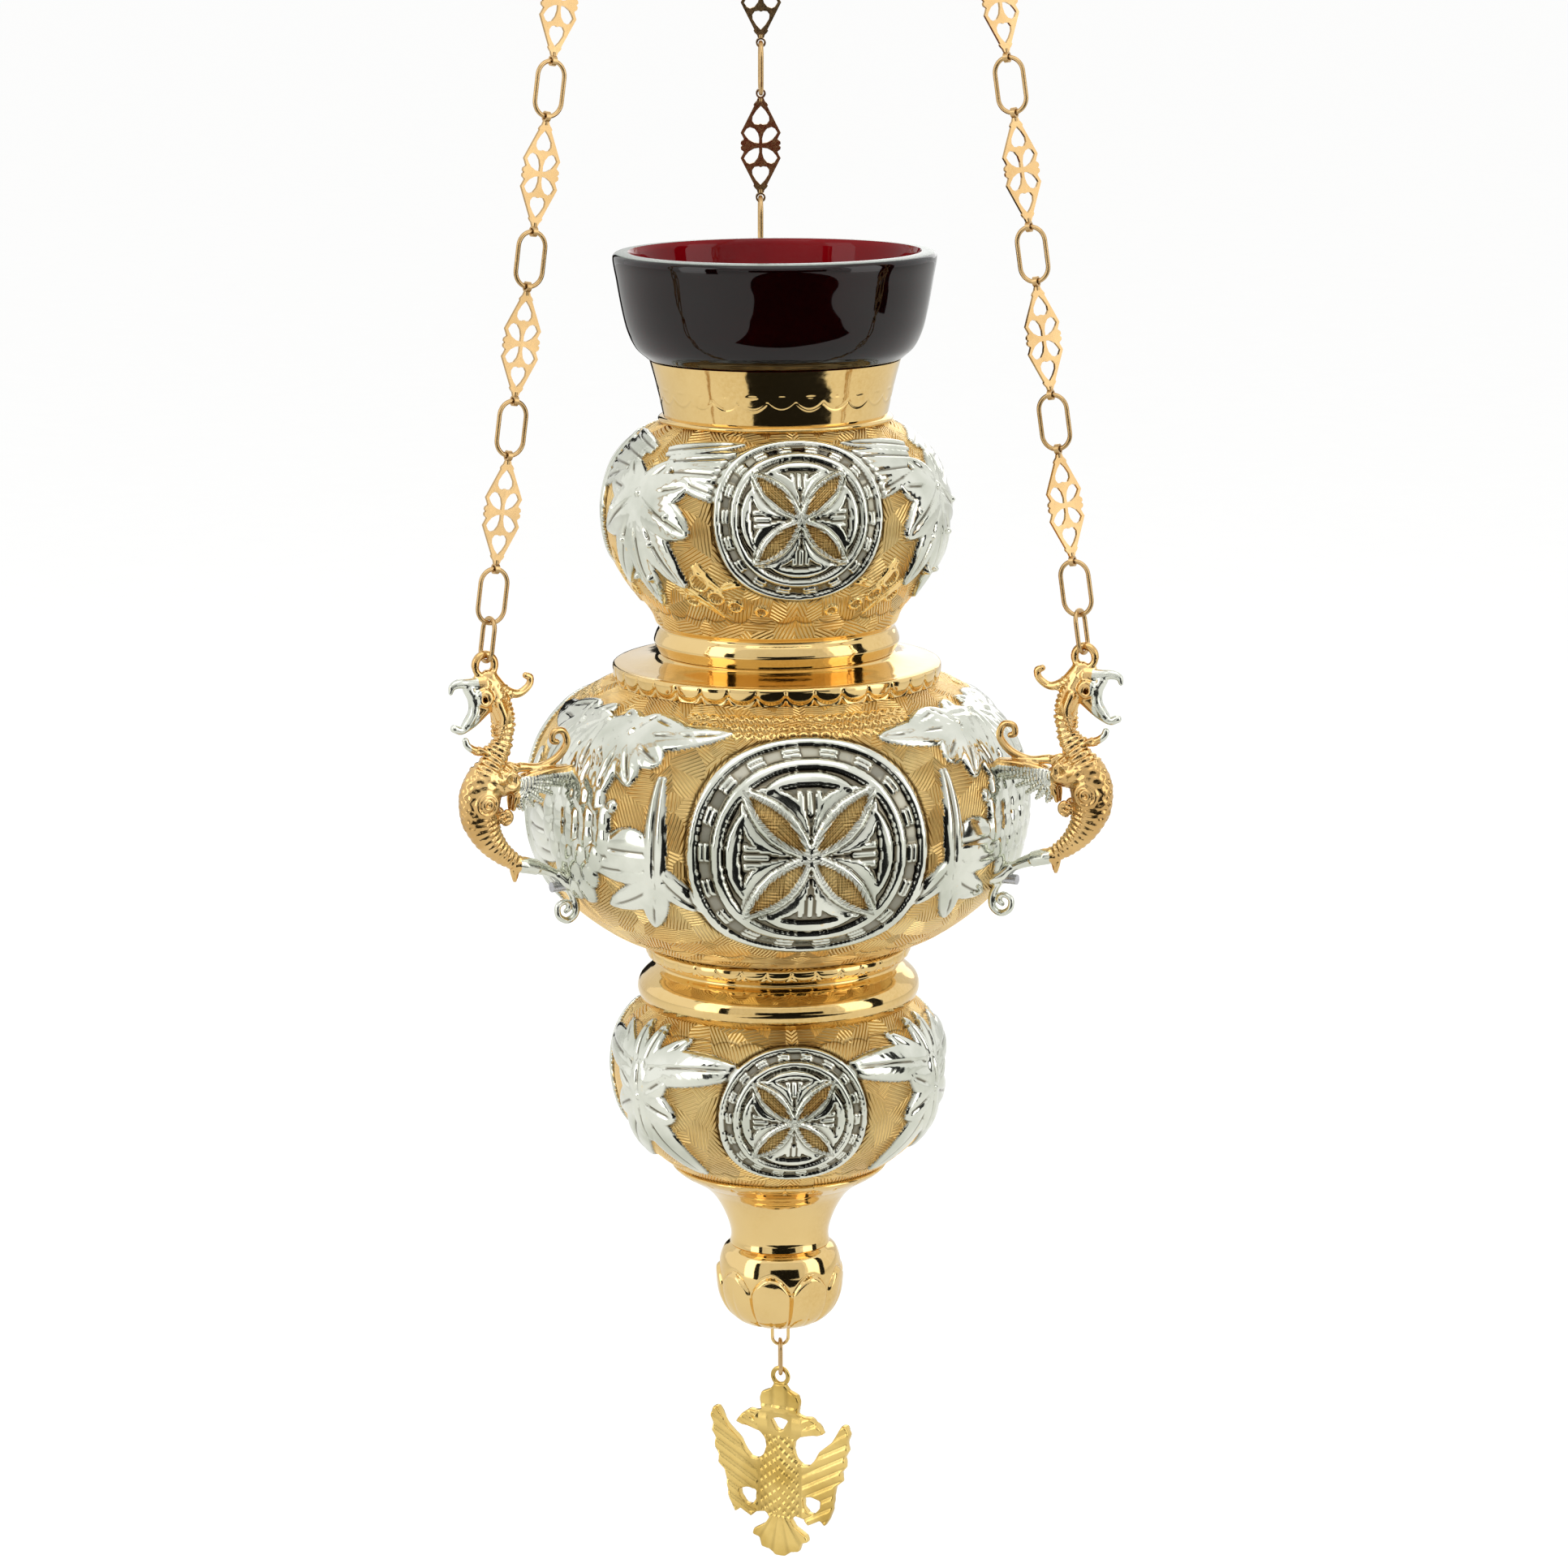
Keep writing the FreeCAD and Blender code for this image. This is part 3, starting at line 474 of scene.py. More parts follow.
        # painted shade in the sunk field and in the border between its bars
        painted_shade = 0.75 * field + 0.8 * border * (1 - np.clip(bars * 2, 0, 1))
        matte = np.zeros_like(rho)
        for k in range(4):
            turn = math.radians(45 + 90 * k)
            a = (x * math.cos(turn) + y * math.sin(turn)) / radius
            b = (y * math.cos(turn) - x * math.sin(turn)) / radius
            t = np.clip(a / PETAL_REACH, 1e-4, 1 - 1e-4)
            on = (a > 0) & (a < PETAL_REACH)
            half = 0.108 * np.sin(math.pi * t) ** 0.95
            wing = 0.25 * np.sin(math.pi * t ** 1.15) ** 0.9
            gap = np.abs(np.abs(b) - half) / 0.032
            edge = on & (gap < 1)
            stipple = 0.22 * np.sin((x + y) * 3.6) * np.sin((x - y) * 3.6)
            pad = on & (np.abs(b) < half)
            shape = np.where(pad, base - 0.42 + stipple, shape)
            silver = np.where(pad & (gap > 1), 0.25, silver)
            matte = np.where(pad, 1.0, matte)
            # painted shade in the low spots of the stipple
            painted_shade = np.where(pad, 0.42 - stipple, painted_shade)
            shape = np.where(edge, base + 0.42 * dome(gap), shape)
            painted_shade = np.where(edge, 0.0, painted_shade)
            flank = on & (np.abs(b) > half + 0.045) & (np.abs(b) < wing)
            crest = np.clip((np.abs(b) - half - 0.045) / np.clip(wing - half - 0.045, 1e-3, None), 0, 1)
            shape = np.where(flank, base - 0.75 + 0.95 * crest, shape)
            # painted shade deepest at the foot of each flank
            painted_shade = np.where(flank, 0.25 * (1 - crest), painted_shade)
            turn = math.radians(90 * k)
            a = (x * math.cos(turn) + y * math.sin(turn)) / radius
            b = (y * math.cos(turn) - x * math.sin(turn)) / radius
            thick = 0.055 * dome(b / 0.36) + 1e-4
            moon = np.abs(np.hypot(a, b) - CRESCENT) / thick
            lens = (np.abs(b) < 0.35) & (moon < 1) & (a > 0)
            shape = np.where(lens, base - 0.1 + 0.35 * (1 - moon ** 2), shape)
            painted_shade = np.where(lens, 0.0, painted_shade)
            for side in (-0.075, 0.0, 0.075):
                stroke = (a > 0.34) & (a < 0.53) & (np.abs(b - side * (0.5 + a)) < 0.020)
                shape = np.where(stroke, base - 0.15, shape)
                painted_shade = np.where(stroke, 0.0, painted_shade)
        boss = dome(rho / BOSS)
        shape = np.where(rho < BOSS, base + 0.5 * boss, shape)
        painted_shade = np.where(rho < BOSS, 0.0, painted_shade)
        self.height = np.where(inside, shape, self.height)
        self.silver = np.where(inside, silver, self.silver)
        self.matte = np.where(inside, matte, self.matte)
        self.painted_shade = np.where(inside, np.clip(painted_shade, 0, 1), self.painted_shade)
        cut = bell((np.hypot(x, y) - radius * 1.035) / 0.5)
        self.height = self.height - 0.5 * cut
        # painted shade in the groove round the medallion
        self.painted_shade = np.maximum(self.painted_shade, 0.8 * cut)

    def fade_ends(self, top, bottom):
        """Flattens the relief to nothing at the bulb's two edges."""
        edge = np.clip(self.s / top, 0, 1) * np.clip((self.s[-1] - self.s) / bottom, 0, 1)
        self.height = self.height * edge[None, :] ** 0.5
        return self

    def build(self, name, node, azimuth):
        # painted shade: points lower than their surroundings are darkened too
        low = self.height - smooth(self.height, 6)
        self.painted_shade = np.clip(self.painted_shade + np.clip(-low * 1.3, 0, 0.8), 0, 1)
        raised = smooth(self.height, 1)
        tangent = np.gradient(self.outer, axis=0)
        tangent /= np.linalg.norm(tangent, axis=1)[:, None]
        normal = np.stack([-tangent[:, 1], tangent[:, 0]], axis=1)
        r = self.outer[None, :, 0] + raised * normal[None, :, 0]
        h = self.outer[None, :, 1] + raised * normal[None, :, 1]
        count = len(self.theta)
        inner_r = np.broadcast_to(self.inner[:, 0], (count, len(self.inner)))
        inner_h = np.broadcast_to(self.inner[:, 1], (count, len(self.inner)))
        r, h = np.hstack([r, inner_r]), np.hstack([h, inner_h])
        r, h = np.tile(r, (3, 1)), np.tile(h, (3, 1))
        zero = np.zeros((count, len(self.inner)))
        across = np.abs(self.theta)[:, None] * self.outer[None, :, 0]
        down = np.broadcast_to(self.s[None, :], self.height.shape)
        layers = {"silver": self.silver, "matte": self.matte, "painted_shade": self.painted_shade,
                  "across": across, "down": down}
        layers = {k: np.tile(np.hstack([v, zero]), (3, 1)) for k, v in layers.items()}
        theta = math.radians(azimuth) + np.radians(np.linspace(-60, 300, 3 * count, endpoint=False))
        obj = turn_grid(name, theta, r, h, relief_metal, layers, 55.0)
        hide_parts(node)
        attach(obj, "lamp")
        return obj


def smooth(values, times):
    """Small blur, wrapping round the bulb."""
    for _ in range(times):
        values = (np.roll(values, 1, 0) + np.roll(values, -1, 0) + 2 * values) / 4
        padded = np.pad(values, ((0, 0), (1, 1)), mode="edge")
        values = (padded[:, :-2] + padded[:, 2:] + 2 * values) / 4
    return values


def leaf(relief, azimuth, h, lobes, rise, ribs=2.4):
    """Lobes (angle, length, width) about one stalk, each lying a little over the one before."""
    for k, (angle, length, width) in enumerate(lobes):
        relief.leaflet(azimuth, h, angle, length, width, rise + 0.08 * k, 0.05, ribs)
    relief.bead(azimuth, h + 0.6, 1.5, 1.5, rise + 0.08 * len(lobes) + 0.2)


def mirrored(side, angle):
    return angle if side > 0 else 180 - angle


def both_sides(*lobes):
    """Each lobe and its mirror image, except those along the stalk's own line."""
    rows = []
    for angle, length, width in lobes:
        rows += [(a, length, width) for a in ((angle,) if abs(angle) == 90 else (angle, 180 - angle))]
    return rows


def grape_cluster(relief, azimuth, h, rows, across, up, rise=1.7):
    """Overlapping drop-shaped grapes in staggered rows that narrow downwards."""
    y = h
    for index, count in enumerate(rows):
        radius = np.interp(-y, -relief.outer[:, 1], relief.outer[:, 0])
        for k in range(count):
            shift = math.degrees((k - (count - 1) / 2) * across * 1.8 / radius)
            relief.bead(azimuth + shift, y, across, up, rise + 0.1 * index, 90 + shift * 0.4)
        y -= up * 1.08


UPPER = [(33.2, -49.0), (40.6, -54.2), (47.2, -62.2), (50.0, -74.5), (48.2, -87.0), (42.4, -97.3),
         (37.2, -104.2), (35.5, -108.0)]
MIDDLE = [(47.6, -125.6), (55.6, -129.2), (62.8, -134.4), (69.6, -143.2), (73.0, -154.0), (73.5, -164.0),
          (72.2, -174.0), (68.2, -183.6), (61.2, -191.4), (50.2, -199.4), (38.2, -204.5)]
LOWER = [(40.0, -222.5), (44.4, -226.4), (47.8, -232.2), (49.2, -239.2), (48.9, -247.4), (46.4, -256.6),
         (41.0, -264.6), (34.6, -270.2), (31.5, -272.0)]


BORDER = 60        # a handle's azimuth from the medallion beside it
UPPER_AZIMUTH, MIDDLE_AZIMUTH, LOWER_AZIMUTH = 275.1, 274.3, 272.1      # of the front medallions


def upper_relief():
    r = Relief(UPPER, 290, 190)
    for side in (-1, 1):
        fronds = ((17, -62.0, -14, 19, 5.4), (13, -60.0, 2, 25, 6.2), (8, -57.6, 10, 31, 7.2),
                  (4, -55.0, 14, 24, 5.6))
        for start, h, angle, length, width in fronds:
            r.leaflet(BORDER + side * start, h, mirrored(side, angle), length, width, 1.25,
                      -side * 0.06, 2.2)
        r.leaflet(side * 33, -64.0, mirrored(side, 200), 11, 4.4, 0.7, 0, 0, 0.0)
        r.leaflet(side * 37, -85.0, mirrored(side, 238), 12, 4.0, 0.7, 0.1, 0, 0.0)
        for at, h, size in ((36, -90.5, 2.8), (31, -95.0, 2.2), (24, -97.5, 1.8), (41, -96.0, 2.2),
                            (14, -99.0, 1.6)):
            r.ring(side * at, h, size, 1.1, 0.8, 0.0)
        r.leaflet(side * 45, -92.0, mirrored(side, 210), 15, 3.6, 0.9, side * 0.3, 0, 0.0)
        r.leaflet(side * 28, -92.0, mirrored(side, 150), 9, 3.0, 0.7, side * 0.3, 0, 0.0)
    leaf(r, BORDER, -67.0, both_sides((50, 14, 9.0), (10, 18, 12.0), (-64, 30, 12.0), (-90, 34, 11.0),
                                      (-30, 22, 13.0)), 1.5)
    for dx, dy in ((-7, -80), (7, -80), (-14, -72), (14, -72), (-3.5, -90), (3.5, -90)):
        r.bead(BORDER + dx, dy, 1.4, 1.4, 2.9)
    r.medallion(-71.5, 25.0)
    r.scallops(-101.5, 36, 2.4, 0.35)
    return r.fade_ends(3.0, 5.0).build("upper_bulb_embossed", "upper_bulb", UPPER_AZIMUTH)


def middle_relief():
    r = Relief(MIDDLE, 380, 260)
    for k in range(23):
        for row in range(3):
            r.ring(-33 + k * 3.0 + 1.5 * (row % 2), -128.0 - 1.9 * row, 1.1, 0.8, 0.6, 0.0)
    for side in (-1, 1):
        out, stem_at, leaf_at = mirrored(side, 0), side * 35, side * 49
        # the stem and its spreading foot
        r.leaflet(stem_at, -168.0, mirrored(side, -18), 25, 9.5, 1.2, side * 0.25, 2.6)
        r.leaflet(stem_at, -173.0, mirrored(side, -38), 21, 9.5, 1.3, side * 0.2, 2.6)
        r.leaflet(stem_at, -170.0, mirrored(side, 232), 17, 8.5, 1.3, -side * 0.2, 2.6)
        r.leaflet(stem_at, -172.0, mirrored(side, -74), 18, 9.0, 1.4, 0, 2.6)
        r.leaflet(stem_at, -143.0, -90, 40, 7.6, 1.5, side * 0.05, 0, 1.0, 1.35)
        # the rounded leaf beside it, with its berries
        r.leaflet(side * 37, -164.5, out, 16, 14.0, 1.5, 0, 0, 1.0, 0.9)
        for dx, dy in ((50.0, -156.0), (51.5, -160.0), (50.0, -164.0), (47.5, -152.5)):
            r.bead(side * dx, dy, 2.0, 2.0, 1.4)
        # the leaf above, with one long lobe over the medallion
        r.leaflet(side * 45, -129.6, mirrored(side, 200), 20, 7.6, 1.3, side * 0.04, 2.2)
        leaf(r, leaf_at, -134.0, [(mirrored(side, a), l, w) for a, l, w in (
            (176, 31, 10.5), (120, 11, 9.0), (55, 12, 9.0), (5, 16, 11.0), (212, 17, 11.0),
            (-40, 17, 11.0), (-112, 17, 11.5), (-76, 20, 9.5))], 1.3)
    grape_cluster(r, BORDER, -146.0, (3, 4, 5, 5, 4, 3, 2), 3.6, 5.0)
    leaf(r, BORDER, -132.5, both_sides((10, 15, 8.0), (-28, 19, 9.0), (-60, 20, 9.0), (-90, 19, 9.5)), 1.6)
    r.medallion(-163.8, 35.3)
    r.scallops(-196.5, 39, 3.0, 0.4)
    r.line(-200.8)
    return r.fade_ends(3.0, 4.0).build("middle_bulb_embossed", "middle_bulb", MIDDLE_AZIMUTH)


def lower_relief():
    r = Relief(LOWER, 290, 170)
    for side in (-1, 1):
        r.leaflet(BORDER + side * 2, -238.5, mirrored(side, 38), 20, 8.0, 1.3, side * 0.1, 3.0)
        r.leaflet(BORDER + side * 3, -236.5, mirrored(side, 14), 33, 11.5, 1.5, -side * 0.14, 3.0)
        r.leaflet(BORDER + side * 1, -239.0, mirrored(side, 74), 18, 7.0, 1.4, side * 0.1, 3.0)
        r.leaflet(BORDER, -247.0, mirrored(side, -54), 28, 12.5, 1.5, -side * 0.08, 3.4)
    leaf(r, BORDER, -245.0, both_sides((30, 14, 10.0), (-20, 15, 11.5), (90, 11, 9.0), (-90, 14, 10.0)), 1.8)
    r.medallion(-247.5, 22.2)
    r.scallops(-227.0, 36, 1.8, 0.3, -1.0)
    r.scallops(-266.5, 36, 2.2, 0.35)
    return r.fade_ends(4.0, 4.0).build("lower_bulb_embossed", "lower_bulb", LOWER_AZIMUTH)


upper_relief()
middle_relief()
lower_relief()


# ---- plain turned pieces ----
def piece(obj, node, body="lamp"):
    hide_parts(node)
    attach(obj, body)
    return obj


def outline_with_inside(points, thickness, count):
    outer, inner = shell_outline(points, thickness, count)
    return np.vstack([outer, inner])


COLLAR_ARCS = 26


def engraved_collar(theta, r, h):
    """A wavy line and a row of short dashes chased round the collar."""
    pitch = 2 * math.pi / COLLAR_ARCS
    turn = (theta % pitch) / pitch - 0.5
    line = -42.6 + 2.2 * (2 * turn) ** 2
    outside = r > 32.4
    cut = 0.12 * bell((h - line) / 0.45) * outside * (h > -46.4)
    cut = cut + 0.10 * np.exp(-(((h + 38.8) / 0.4) ** 2) - (turn / 0.18) ** 2) * outside
    return r - cut, h


collar_points = np.vstack([through([(36.6, -31.3), (35.3, -36.0), (34.1, -41.0), (32.75, -47.2)], 90),
                           through([(32.75, -47.2), (33.6, -47.5), (34.3, -48.2), (34.0, -49.0)], 10)[1:],
                           [(31.6, -49.0), (31.6, -46.6), (33.4, -39.0), (35.4, -31.5), (36.0, -31.2)]])
piece(lathe("collar_chased", collar_points, gold, 600, engraved_collar), "collar")

waist = outline_with_inside([(35.5, -108.0), (34.6, -109.6), (35.4, -111.2), (36.1, -113.6), (35.4, -115.8),
                             (34.6, -117.0)], 1.5, 40)
piece(lathe("waist_beaded", waist, gold, 200), "waist_spool")

FLANGE_TONGUES, RING_TONGUES, BASE_TONGUES = 36, 33, 24


def tongues(count, rim_top, depth, bite):
    """Rounded tongues hammered into a hanging rim, with a groove between each pair."""
    def swell(theta, r, h):
        turn = (theta * count / (2 * math.pi)) % 1.0 - 0.5
        arch = dome(2 * turn)
        hanging = np.clip((rim_top - h) / depth, 0, 1)
        outer = r > r.max(axis=1, keepdims=True) - 2.6
        line = bell((hanging - 0.25 - 0.68 * arch) / 0.10) * (hanging > 0.02)
        groove = bell(np.abs(np.abs(turn) - 0.5) / 0.06) * hanging
        push = (0.45 * arch * hanging - 0.35 * line - 0.45 * groove) * outer * bite
        return r + push, h
    return swell


flange = np.vstack([through([(34.6, -117.2), (35.8, -118.2), (38.6, -119.1), (43.2, -119.8), (46.8, -120.1)], 40),
                    through([(46.8, -120.1), (47.9, -120.4), (48.3, -121.2), (48.0, -123.4), (47.4, -125.5)], 26)[1:],
                    [(46.6, -125.6), (46.5, -125.0), (47.0, -121.7), (43.0, -121.1), (38.8, -120.5),
                     (35.6, -119.6), (30.0, -119.2), (30.0, -117.0), (34.0, -117.0)]])
piece(lathe("shoulder_flange_scalloped", flange, gold, 900, tongues(FLANGE_TONGUES, -120.2, 5.4, 1.0)),
      "shoulder_flange")

ring = np.vstack([through([(38.2, -204.6), (39.2, -205.2), (39.3, -206.8), (38.7, -208.2), (37.4, -209.0)], 24),
                  [(32.0, -209.0), (32.0, -204.6)]])
piece(lathe("scalloped_ring_tongued", ring, gold, 800, tongues(RING_TONGUES, -204.8, 4.0, 0.8)),
      "scalloped_ring")

moulding = outline_with_inside([(36.9, -209.0), (36.2, -210.6), (38.2, -212.3), (41.2, -215.2), (42.0, -218.2),
                                (41.0, -221.2), (40.0, -222.5)], 1.2, 70)
piece(lathe("lower_moulding_polished", moulding, gold, 240), "lower_moulding")

base = np.vstack([through([(31.5, -272.1), (32.2, -272.9), (30.6, -274.4), (28.2, -276.0), (25.4, -277.7)], 26),
                  [(18.0, -277.7), (18.0, -272.1)]])
piece(lathe("base_ring_scalloped", base, gold, 640, tongues(BASE_TONGUES, -272.6, 5.0, 0.9)), "base_ring")

stem_outline = outline_with_inside([(25.0, -277.7), (20.6, -281.6), (17.5, -286.3), (15.4, -291.4), (14.7, -295.0),
                                    (15.0, -297.8)], 1.4, 70)
piece(lathe("stem_trumpet", stem_outline, gold, 200), "stem")

KNOB_PETALS, KNOB_TURN = 9, math.radians(278)


def gadroons(theta, r, h):
    """Nine raised petals whose tops arch over at the knob's widest part."""
    turn = ((theta - KNOB_TURN) * KNOB_PETALS / (2 * math.pi)) % 1.0 - 0.5
    top = -304.2 - 6.0 * (2 * turn) ** 2
    below = np.clip((top - h) / 1.4, 0, 1)
    swell = 0.75 * below * np.sqrt(np.clip(1 - (2 * turn) ** 4, 0, 1))
    seam = 0.7 * bell(np.abs(np.abs(turn) - 0.5) / 0.05) * below
    edge = 0.35 * bell((h - top) / 0.5)
    rib = 0.25 * bell(turn / 0.05) * below * np.clip((-308 - h) / 6, 0, 1)
    scale = np.clip(r / 14.0, 0, 1)
    outside = (r > 0.5) & (h > -323.7)
    return r + (swell - seam - edge - rib) * scale * outside, h


knob_curve = through([(14.6, -297.8), (17.0, -299.8), (18.3, -304.0), (18.5, -308.6), (17.6, -314.4),
                      (14.6, -319.6), (9.4, -322.8), (0.05, -323.8)], 130)
knob_loop = np.vstack([knob_curve, [(0.05, -297.8), (7.0, -297.8)]])
piece(lathe("knob_gadrooned", knob_loop, gold, 540, gadroons), "knob")

CUP_OUTSIDE, CUP_HIDDEN, CUP_INSIDE = 70, 60, 80       # rows of the cup's outline, in order
cup_outside = through([(42.6, 0.0), (44.6, 0.02), (46.4, -0.5), (47.0, -2.2), (46.0, -8.0), (44.6, -16.0),
                       (43.0, -22.6), (40.6, -27.6), (37.2, -30.7)], CUP_OUTSIDE)
cup_hidden = through([(36.4, -31.0), (33.0, -31.4), (31.4, -38.0), (30.2, -46.0), (27.6, -74.0), (25.2, -79.2),
                      (20.0, -80.4), (0.05, -80.4)], CUP_HIDDEN)
cup_inside = through([(0.05, -75.6), (20.0, -75.6), (23.4, -73.0), (26.2, -46.0), (28.8, -32.0), (35.4, -26.2),
                      (38.6, -20.0), (41.2, -5.0), (41.9, -1.0)], CUP_INSIDE)
cup = lathe("glass_cup_ruby", np.vstack([cup_outside, cup_hidden, cup_inside]), ruby, 220)
cup.data.materials.append(rim_clear)
cup.data.materials.append(ruby_inside)
for face in cup.data.polygons:
    if face.index % (CUP_OUTSIDE + CUP_HIDDEN + CUP_INSIDE) >= CUP_OUTSIDE + CUP_HIDDEN:
        face.material_index = 2
    if face.center.z > RIM - 0.45 * MM and math.hypot(face.center.x, face.center.y) < 46.3 * MM:
        face.material_index = 1
piece(cup, "glass_cup", "glass_cup")


# ---- cast dragon handles ----
LOOP_RADIUS, LOOP_DROP = 98.5, -112.0
NECK = [(-0.8, -3.4), (-2.6, -8.0), (-5.2, -13.5), (-6.4, -19.0), (-5.2, -24.5), (-1.2, -30.2), (2.0, -36.4),
        (2.4, -43.0), (0.2, -49.4), (-4.0, -54.6), (-9.2, -58.4)]
NECK_R = [2.2, 3.6, 3.4, 2.3, 3.0, 5.6, 6.4, 5.9, 4.4, 3.2, 2.3]


def stroke(points, radii, flat=0.8, y=0.0):
    """A tapering member with round ends: (points, faces) of a closed tube in the XZ plane."""
    points = [(p[0], p[1], p[2] if len(p) > 2 else y) for p in points]
    line = through(points, 12 * len(points))
    length = np.linspace(0, 1, len(line))
    radius = np.interp(length, np.linspace(0, 1, len(radii)), radii)
    tangent = np.gradient(line, axis=0)
    tangent /= np.linalg.norm(tangent, axis=1)[:, None]
    ball = np.sin(np.linspace(0.15, 1.4, 4))
    start = [line[0] - tangent[0] * radius[0] * math.sqrt(1 - b * b) for b in ball]
    end = [line[-1] + tangent[-1] * radius[-1] * math.sqrt(1 - b * b) for b in ball[::-1]]
    line = np.vstack([start, line, end])
    tangent = np.vstack([[tangent[0]] * 4, tangent, [tangent[-1]] * 4])
    radius = np.concatenate([radius[0] * ball, radius, radius[-1] * ball[::-1]])
    side = np.stack([tangent[:, 1], -tangent[:, 0], 0 * tangent[:, 0]], axis=1)
    side /= np.linalg.norm(side, axis=1)[:, None]
    turn = np.linspace(0, 2 * math.pi, 18, endpoint=False)
    ring = line[:, None, :] + radius[:, None, None] * (
        np.cos(turn)[None, :, None] * side[:, None, :] + np.sin(turn)[None, :, None] * np.array([0, 0, flat]))
    points = ring.reshape(-1, 3)[:, [0, 2, 1]]
    n, m = len(line), len(turn)
    faces = [(i * m + j, i * m + (j + 1) % m, (i + 1) * m + (j + 1) % m, (i + 1) * m + j)
             for i in range(n - 1) for j in range(m)]
    faces += [tuple(range(m))[::-1], tuple((n - 1) * m + j for j in range(m))]
    return points, faces


def circle_stroke(x, z, radius, wire, turns=1.0, start=0.0, grow=0.0, y=0.0, flat=1.0):
    angles = np.linspace(start, start + 360 * turns, int(14 * turns) + 3)
    points = [(x + (radius - grow * (a - start) / 360) * math.cos(math.radians(a)),
               z + (radius - grow * (a - start) / 360) * math.sin(math.radians(a)), y) for a in angles]
    return stroke(points, [wire, wire, wire * 0.85], flat)


def dragon_strokes():
    parts = [
        circle_stroke(0, 0, 3.15, 1.15),
        stroke(NECK, NECK_R, 0.78),
        stroke([(0.5, -5.4), (4.5, -5.0), (8.2, -4.5), (10.6, -5.2), (11.2, -6.9)], [2.8, 2.1, 1.6, 1.3, 0.7], 0.9),
        stroke([(5.4, -6.4), (4.0, -9.6), (4.0, -13.2), (6.2, -16.6)], [1.6, 1.5, 1.5, 1.4], 1.3),
        stroke([(0.6, -12.0), (4.4, -15.9), (7.8, -17.9), (10.2, -17.2)], [2.4, 1.8, 1.3, 1.25], 1.0),
        stroke([(-4.4, -22.4), (-0.6, -24.6), (3.4, -24.2), (6.0, -22.6), (6.7, -21.0)],
               [2.0, 1.6, 1.25, 1.15, 1.0], 1.0),
        stroke([(-1.6, -3.6), (-5.6, -7.4), (-10.4, -9.2), (-14.0, -7.4), (-14.8, -5.0), (-13.2, -4.2)],
               [2.3, 2.0, 1.5, 1.2, 1.1, 1.0], 0.9),
        stroke([(-5.0, -30.8), (-10.8, -30.6), (-17.1, -31.2), (-23.0, -29.2), (-26.4, -25.2), (-25.2, -21.6),
                (-22.2, -21.6), (-21.6, -24.0), (-23.2, -24.6)],
               [2.4, 1.6, 1.3, 1.25, 1.25, 1.2, 1.1, 1.0, 0.9], 0.95),
        stroke([(-7.6, -58.2), (-15.6, -60.4), (-22.4, -63.6), (-26.4, -68.2), (-28.6, -72.4), (-28.4, -75.8),
                (-25.8, -77.4), (-23.0, -75.8), (-22.8, -72.8), (-25.4, -71.8), (-26.6, -73.6), (-25.4, -74.6)],
               [1.8, 2.2, 2.0, 1.6, 1.3, 1.2, 1.15, 1.1, 1.0, 0.95, 0.9, 0.8], 1.1),
        stroke([(-23.0, -63.6), (-26.4, -66.2), (-31.2, -67.0)], [1.9, 2.5, 2.5], 1.1),
        stroke([(-8.4, -58.6), (-8.6, -63.4)], [1.8, 0.6], 0.8),
        stroke([(-1.0, -33.6), (-6.4, -34.6), (-10.0, -35.6)], [5.0, 4.2, 2.6], 0.95),
        stroke([(-14.0, -34.2), (-21.0, -34.0), (-30.6, -34.5)], [1.4, 2.6, 2.6], 1.0),
    ]
    for y in (-1, 1):
        parts.append(circle_stroke(1.4, -9.2, 2.3, 0.75, 1.4, 30, 0.9, 2.5 * y))
        parts.append(stroke([(-3.0, -10.8, 2.6 * y), (-4.4, -15.4, 3.0 * y), (-3.6, -20.6, 1.9 * y)],
                            [1.3, 1.1, 0.8], 1.0))
        parts.append(circle_stroke(2.4, -39.4, 3.1, 0.7, 1.0, 0, 0, 4.3 * y))
        parts.append(circle_stroke(2.4, -39.4, 1.3, 0.75, 1.0, 0, 0, 4.8 * y))
        parts.append(circle_stroke(-4.6, -44.2, 1.9, 0.75, 1.5, 90, 0.7, 2.6 * y))
        parts.append(circle_stroke(-6.0, -33.4, 2.6, 0.8, 1.5, 200, 0.8, 3.4 * y))
        tips = [(-28.6, -32.2), (-26.6, -34.8), (-23.8, -37.0), (-20.6, -39.2), (-17.4, -40.9), (-14.2, -42.0),
                (-11.0, -42.6), (-8.0, -42.4)]
        for k, tip in enumerate(tips):
            root = (-8.6 - 0.3 * k, -34.6 - 0.35 * k)
            middle = ((root[0] + tip[0]) / 2 + 0.8, (root[1] + tip[1]) / 2 + 0.9)
            parts.append(stroke([(*root, 1.2 * y), (*middle, 1.6 * y), (*tip, 1.0 * y)], [0.95, 1.0, 0.7], 1.0))
    return parts


def remeshed(name, points, faces, voxel, rounds):
    """One smooth skin over overlapping closed forms, as a mesh."""
    mesh = bpy.data.meshes.new(name + "_raw")
    mesh.from_pydata((points * MM).tolist(), [], faces)
    raw = bpy.data.objects.new(name + "_raw", mesh)
    bpy.context.scene.collection.objects.link(raw)
    skin = raw.modifiers.new("skin", "REMESH")
    skin.mode, skin.voxel_size = "VOXEL", voxel * MM
    ease = raw.modifiers.new("ease", "SMOOTH")
    ease.factor, ease.iterations = 0.5, rounds
    bpy.context.view_layer.update()
    result = bpy.data.meshes.new_from_object(raw.evaluated_get(bpy.context.evaluated_depsgraph_get()))
    bpy.data.objects.remove(raw)
    result.name = name
    return result


